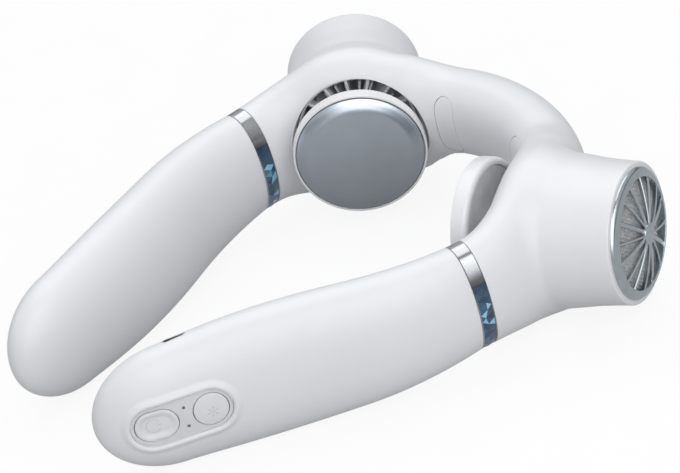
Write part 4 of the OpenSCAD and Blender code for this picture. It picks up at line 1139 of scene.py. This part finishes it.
# %% Crystal facets
FACETS, FROM_CHROME = 24, 0.004
start = np.interp(np.pi - TURN_AT + FROM_CHROME, dense, OVAL_GONE)
stop = OVAL_GONE[-1] + np.interp(TURN_AT - FROM_CHROME, dense, OVAL_GONE)
edge_at = np.linspace(start, stop, FACETS + 1)
ridge_at = np.concatenate([[start], (edge_at[:-1] + edge_at[1:]) / 2, [stop]])
tints = np.random.default_rng(7)
ridge_z = np.full(FACETS + 2, -2.95)
ridge_z[1:-1] += tints.uniform(-0.9, 0.9, FACETS)
rows = ((edge_at, 0.1, -5.5), (edge_at, 0.1, -0.4), (ridge_at, -0.18, ridge_z),
        (edge_at, 1.12, -5.5), (edge_at, 1.12, -0.4))
points = np.concatenate([oval_row(angle_at(at % OVAL_GONE[-1]), inset, z)
                         for at, inset, z in rows])
# first index of the second edge, the ridge and the two rows of the floor
E, R, F, G = np.cumsum([len(at) for at, _, _ in rows])[:4]
k, j, n = np.arange(FACETS)[:, None], np.arange(FACETS + 1)[:, None], FACETS
facets = [k + [0, 1, R + 1], j + [0, R, R + 1], k + [E + 1, E, R + 1], j + [E, R + 1, R],
          k + [0, F, F + 1, 1], k + [E, E + 1, G + 1, G], k + [F, G, G + 1, F + 1],
          np.array([[0, R, E, G, F]]), np.array([[n, F + n, G + n, E + n, R + n + 1]])]
for side, name in SIDES:
    band = build(name + "_crystals", at_joint(points, side), facets, merge=1e-8, crease=1)
    shade = band.data.attributes.new("facet", "FLOAT", "FACE")
    middles = np.array([face.center[2] for face in band.data.polygons]) / MM
    values = tints.beta(1.1, 1.6, len(middles)) * np.clip((42 - middles) / 9, 0.2, 1)
    shade.data.foreach_set("value", values.astype(np.float32))
    dress(band, "housing", crystal, "crystal", name + "_light_band")

# %% [markdown]
# ## Control panel and buttons
# The panel's face is a shallow barrel, and both buttons stand half a millimetre above
# it, each with a soft edge. The long button is dished and the round one a little domed.
# The buttons are pads with a flange and a post under them, as the moulded ones have.

# %% Panel plastics
panel_grey = finish("panel_satin_grey", ((0.69, 0.705, 0.725), (0.71, 0.725, 0.745)), 6,
                    0.3, 0.004, (0.38, 0.48), Coat_Weight=0.15)
button_white = finish("button_satin_white", ((0.745, 0.755, 0.775), (0.77, 0.78, 0.795)), 5,
                      0.3, 0.003, (0.3, 0.4), Coat_Weight=0.3)
icon_grey = finish("icon_print_grey", ((0.56, 0.57, 0.59), (0.61, 0.62, 0.64)), 1.0,
                   0.2, 0.002, (0.45, 0.6))

# %% Panel
POWER_X, MODE_X, LIGHTS_X, LIGHTS_Y = -9.8, 11.4, 1.6, 4.2
POWER_LONG, POWER_TALL, MODE_D, LIGHT_D, GAP, SEAM = 16.8, 12.6, 13.6, 1.3, 0.3, 0.1
panel = pad("panel", on_panel, PANEL_LONG - SEAM, PANEL_TALL - SEAM, barrel, -1.6, 0.15, rows=24)
for length, height, x, y in ((POWER_LONG + 2 * GAP, POWER_TALL + 2 * GAP, POWER_X, 0),
                             (MODE_D + 2 * GAP, MODE_D + 2 * GAP, MODE_X, 0),
                             (LIGHT_D, LIGHT_D, LIGHTS_X, LIGHTS_Y),
                             (LIGHT_D, LIGHT_D, LIGHTS_X, -LIGHTS_Y)):
    carve(panel, tool(on_panel, length, height, (x, y), high=4, arc=40))
dress(panel, "housing", panel_grey, "panel", "control_panel")

# %% Buttons
CAP_BACK, FLANGE_BACK, POST_BACK, FLANGE, POST_D, APART = -4.1, -4.9, -6.6, 3, 3.2, 0.01


def power_top(x, y):
    """Barrel, 0.62 mm up, less a dish 0.95 mm deep that starts inside the edge."""
    inside = -stadium_distance(x - POWER_X, y, POWER_LONG, POWER_TALL)
    return barrel(x, y) + 0.62 - 0.95 * ease((inside - 0.7) / 2.6)


def mode_top(x, y):
    """Barrel, 0.45 mm up, with a dome of 0.4 (1 - r²) on it."""
    return barrel(x, y) + 0.45 + 0.4 * (1 - np.hypot(x - MODE_X, y) ** 2 / (MODE_D / 2) ** 2)


def button(name, node, length, height, centre, top):
    """The cap, its flange and its post as three closed pads in one mesh."""
    parts = []
    for long, tall, face, bottom, edge in (
            (length, height, top, CAP_BACK, 0.45),
            (length + FLANGE, height + FLANGE, flat_at(CAP_BACK - APART), FLANGE_BACK, 0.1),
            (POST_D, POST_D, flat_at(FLANGE_BACK - APART), POST_BACK, 0.1)):
        shape = pad_points(long, tall, lambda x, y: face(x + centre, y), bottom, edge,
                           rows=20, arc=32)
        shape[..., 0] += centre
        parts.append((on_panel(shape), [grid_faces(*shape.shape[:2])]))
    dress(build(name, *together(parts), merge=2e-6), node, button_white, "button", node)


button("long_button", "power_button", POWER_LONG, POWER_TALL, POWER_X, power_top)
button("round_button", "mode_button", MODE_D, MODE_D, MODE_X, mode_top)

# %% [markdown]
# ## Icons on the buttons
# A faint ring with a stroke marks the long button and a six-armed snow crystal with
# short side arms the round one. Both are thin raised lines: tubes along a path that
# lies on the button's face, so they catch a little light, as print does.

# %% Icons


def line_part(x, y, top, thick):
    """A tube of eight sides along the path (x, y), its middle on the face top. The
    section stands across the path: sideways in plan and upwards."""
    way = np.stack([np.gradient(x), np.gradient(y)], -1)
    way /= np.linalg.norm(way, axis=1, keepdims=True)
    a = np.linspace(0, 2 * np.pi, 8, endpoint=False)
    px = x[:, None] - way[:, 1:] * thick * np.cos(a)
    py = y[:, None] + way[:, :1] * thick * np.cos(a)
    pz = top(x, y)[:, None] + 0.06 * np.sin(a)
    return on_panel(np.stack([px, py, pz], -1)), tube_faces(1, len(x), len(a))


RING_X, RING_R, RING_WIDE = POWER_X - 1.2, 2.8, 0.16
SNOW_X, SNOW_Y, SNOW_WIDE, SIDE_LEAN = MODE_X + 0.4, -0.8, 0.12, 0.9
t = np.radians(np.linspace(38, 322, 60))
stroke = np.linspace(1.2, 3.3, 8)
power_lines = [line_part(RING_X + RING_R * np.cos(t), RING_R * np.sin(t), power_top, RING_WIDE),
               line_part(RING_X + stroke, 0 * stroke, power_top, RING_WIDE)]
snow_lines = []
for angle in np.radians(np.arange(15, 375, 60)):
    for lean, first, last in ((0, 0.3, 2.5), (SIDE_LEAN, 1.5, 2.1), (-SIDE_LEAN, 1.5, 2.1)):
        t = np.linspace(0, last - first, 10)
        snow_lines.append(line_part(
            SNOW_X + first * np.cos(angle) + t * np.cos(angle + lean),
            SNOW_Y + first * np.sin(angle) + t * np.sin(angle + lean), mode_top, SNOW_WIDE))
for name, lines, body in (("power_icon", power_lines, "power_button"),
                          ("snow_icon", snow_lines, "mode_button")):
    dress(build(name, *together(lines), merge=None), body, icon_grey, "button")

# %% [markdown]
# ## Finishes of the solid pieces that stay
# Fins, fans, motors, batteries, wires and boards keep their solid shapes. Most are
# hidden inside, but fins, fans and heat spreaders show through openings, and each piece
# gets a finish with the mottle and the grain of its real material.

# %% Solid pieces' finishes
# colour, patch, roughness, metallic
FINISHES = {
    "frame": ((0.78, 0.79, 0.8), 8, (0.4, 0.5), 0),
    "blade": ((0.62, 0.63, 0.65), 6, (0.35, 0.45), 0),
    "steel": ((0.55, 0.56, 0.58), 3, (0.22, 0.34), 1),
    "copper": ((0.6, 0.3, 0.14), 1.2, (0.3, 0.45), 1),
    "fin": ((0.9, 0.91, 0.92), 4, (0.3, 0.4), 0),
    "spreader": ((0.74, 0.75, 0.77), 7, (0.35, 0.45), 0.1),
    "ceramic": ((0.85, 0.85, 0.82), 3, (0.4, 0.55), 0),
    "battery": ((0.05, 0.14, 0.42), 9, (0.25, 0.35), 0),
    "wire": ((0.03, 0.03, 0.034), 4, (0.45, 0.6), 0),
    "board": ((0.02, 0.12, 0.05), 1.5, (0.3, 0.5), 0),
    "switch": ((0.04, 0.04, 0.045), 2, (0.4, 0.5), 0),
    "light": ((0.16, 0.18, 0.2), 1, (0.15, 0.25), 0)}
SOLID_GRAIN, SOLID_DEPTH = 0.4, 0.004
made = {"white": white}
for name, (colour, patch, rough, metal) in FINISHES.items():
    shades = np.array(colour) * 0.9, np.minimum(np.array(colour) * 1.08, 1)
    made[name] = finish(name + "_finish", shades, patch, SOLID_GRAIN, SOLID_DEPTH, rough,
                        Metallic=metal)
kept = 0
for part in frame["record"]["subparts"]:
    solid = frame["nodes"][part["node"]]
    if not solid.hide_render:
        solid.data.materials.clear()
        solid.data.materials.append(made[part["material_slot"]])
        kept += 1
print("solid pieces that stay:", kept)

# %% [markdown]
# ## Floor and light
# The picture shows the fan on plain white under a large soft light from above, with
# pale light from all round. The floor is a white surface that keeps the fan's shadow;
# the rays that light the fan from below see it darker, so the undersides keep their
# soft grey and the metals mirror a grey floor.

# %% Floor
FLOOR_HALF, SHOWN_SHARE, MIRRORED, DIM, BRIGHT = 4, 0.9, 0.45, 0.46, 0.95
corners = [(-FLOOR_HALF, -FLOOR_HALF, 0), (FLOOR_HALF, -FLOOR_HALF, 0),
           (FLOOR_HALF, FLOOR_HALF, 0), (-FLOOR_HALF, FLOOR_HALF, 0)]
sheet = bpy.data.meshes.new("floor")
sheet.from_pydata(corners, [], [(0, 1, 2, 3)])
ground = place_object("floor", sheet)
paper = material("floor_paper", (0.9, 0.9, 0.9), Roughness=1.0, Specular_IOR_Level=0.0)
rays = add(paper, "LightPath").outputs
seen = reckon(paper, "MAXIMUM", rays["Is Camera Ray"], rays["Is Glossy Ray"])
seen = reckon(paper, "MAXIMUM", seen, rays["Is Transmission Ray"])
glow = add(paper, "Emission", [(ranged(paper, noise(paper, 25, 2), 0.985, 1.0), "Color"),
                               (ranged(paper, rays["Is Glossy Ray"], 1, MIRRORED), "Strength")])
mix = add(paper, "MixShader", [(reckon(paper, "MULTIPLY", seen, SHOWN_SHARE), 0),
                               (shader_of(paper).outputs[0], 1), (glow.outputs[0], 2)])
join(paper, ranged(paper, seen, DIM, BRIGHT), "Base Color")
surface = paper.node_tree.nodes["Material Output"].inputs["Surface"]
paper.node_tree.links.new(mix.outputs[0], surface)
sheet.materials.append(paper)
print("floor:", 2 * FLOOR_HALF, "m square")

# %% Lamps and surroundings
AIM = Vector((0, 0, 0.03))
# place, size (metres) and power (watts) of each square lamp
LAMPS = {"top_light": ((-0.4, 0.3, 1.25), 1.4, 8.6),
         "right_light": ((1.12, -0.3, 0.74), 1.6, 11.6),
         "left_light": ((-0.9, -1.0, 0.8), 0.9, 1.3)}
for name, (place, size, power) in LAMPS.items():
    lamp = bpy.data.lights.new(name, "AREA")
    lamp.shape, lamp.size, lamp.energy = "SQUARE", size, power
    turn = (AIM - Vector(place)).to_track_quat("-Z", "Y").to_matrix().to_4x4()
    place_object(name, lamp).matrix_world = Matrix.Translation(place) @ turn
world = bpy.data.worlds.new("surroundings")
world.use_nodes = True
upwards = add(world, "TexCoord").outputs["Generated"]
sine = add(world, "SeparateXYZ", [(upwards, 0)]).outputs["Z"]
# sine of the height above the horizon, and brightness there
SKY = [(0, 0.2), (0.1, 0.25), (0.22, 0.95), (0.8, 1.0), (0.88, 0.5), (1, 0.55)]
fade = ramp(world, sine, [(at, (shade * 0.96, shade * 0.98, shade)) for at, shade in SKY])
background = world.node_tree.nodes["Background"]
world.node_tree.links.new(fade, background.inputs["Color"])
background.inputs["Strength"].default_value = 0.56
bpy.context.scene.world = world
bpy.context.scene.view_settings.view_transform = "Standard"
print("lamps:", list(LAMPS))

# %% [markdown]
# ## Camera
# The camera's place and lens were worked out from points of the picture: the centres
# and edges of the pods, the rings and the arms' outlines, by least squares.

# %% Camera
AZIMUTH, HEIGHT, ROLL = np.radians([64.51, 31.81, -15.78])
EYE_IN_VIEW = np.array([-31.2444, -18.6192, 1721.304])
FOCAL_PIXELS, PICTURE_WIDE, SENSOR = 4376.2, 680, 36
right = np.array([np.cos(AZIMUTH), np.sin(AZIMUTH), 0])
back = np.array([np.sin(AZIMUTH) * np.cos(HEIGHT), -np.cos(AZIMUTH) * np.cos(HEIGHT),
                 np.sin(HEIGHT)])
up = np.cross(back, right)
axes = np.stack([right * np.cos(ROLL) + up * np.sin(ROLL),
                 -right * np.sin(ROLL) + up * np.cos(ROLL), back])
lens = bpy.data.cameras.new("camera")
lens.sensor_width, lens.lens = SENSOR, FOCAL_PIXELS / PICTURE_WIDE * SENSOR
lens.clip_start, lens.clip_end = 0.05, 50
camera = place_object("camera", lens)
pose = np.eye(4)
pose[:3, :3] = ((stand(axes) - stand([0, 0, 0])) / MM).T
pose[:3, 3] = stand(axes.T @ EYE_IN_VIEW)
camera.matrix_world = Matrix(pose.tolist())
bpy.context.scene.camera = camera
print("camera stands", np.round(pose[:3, 3], 3))
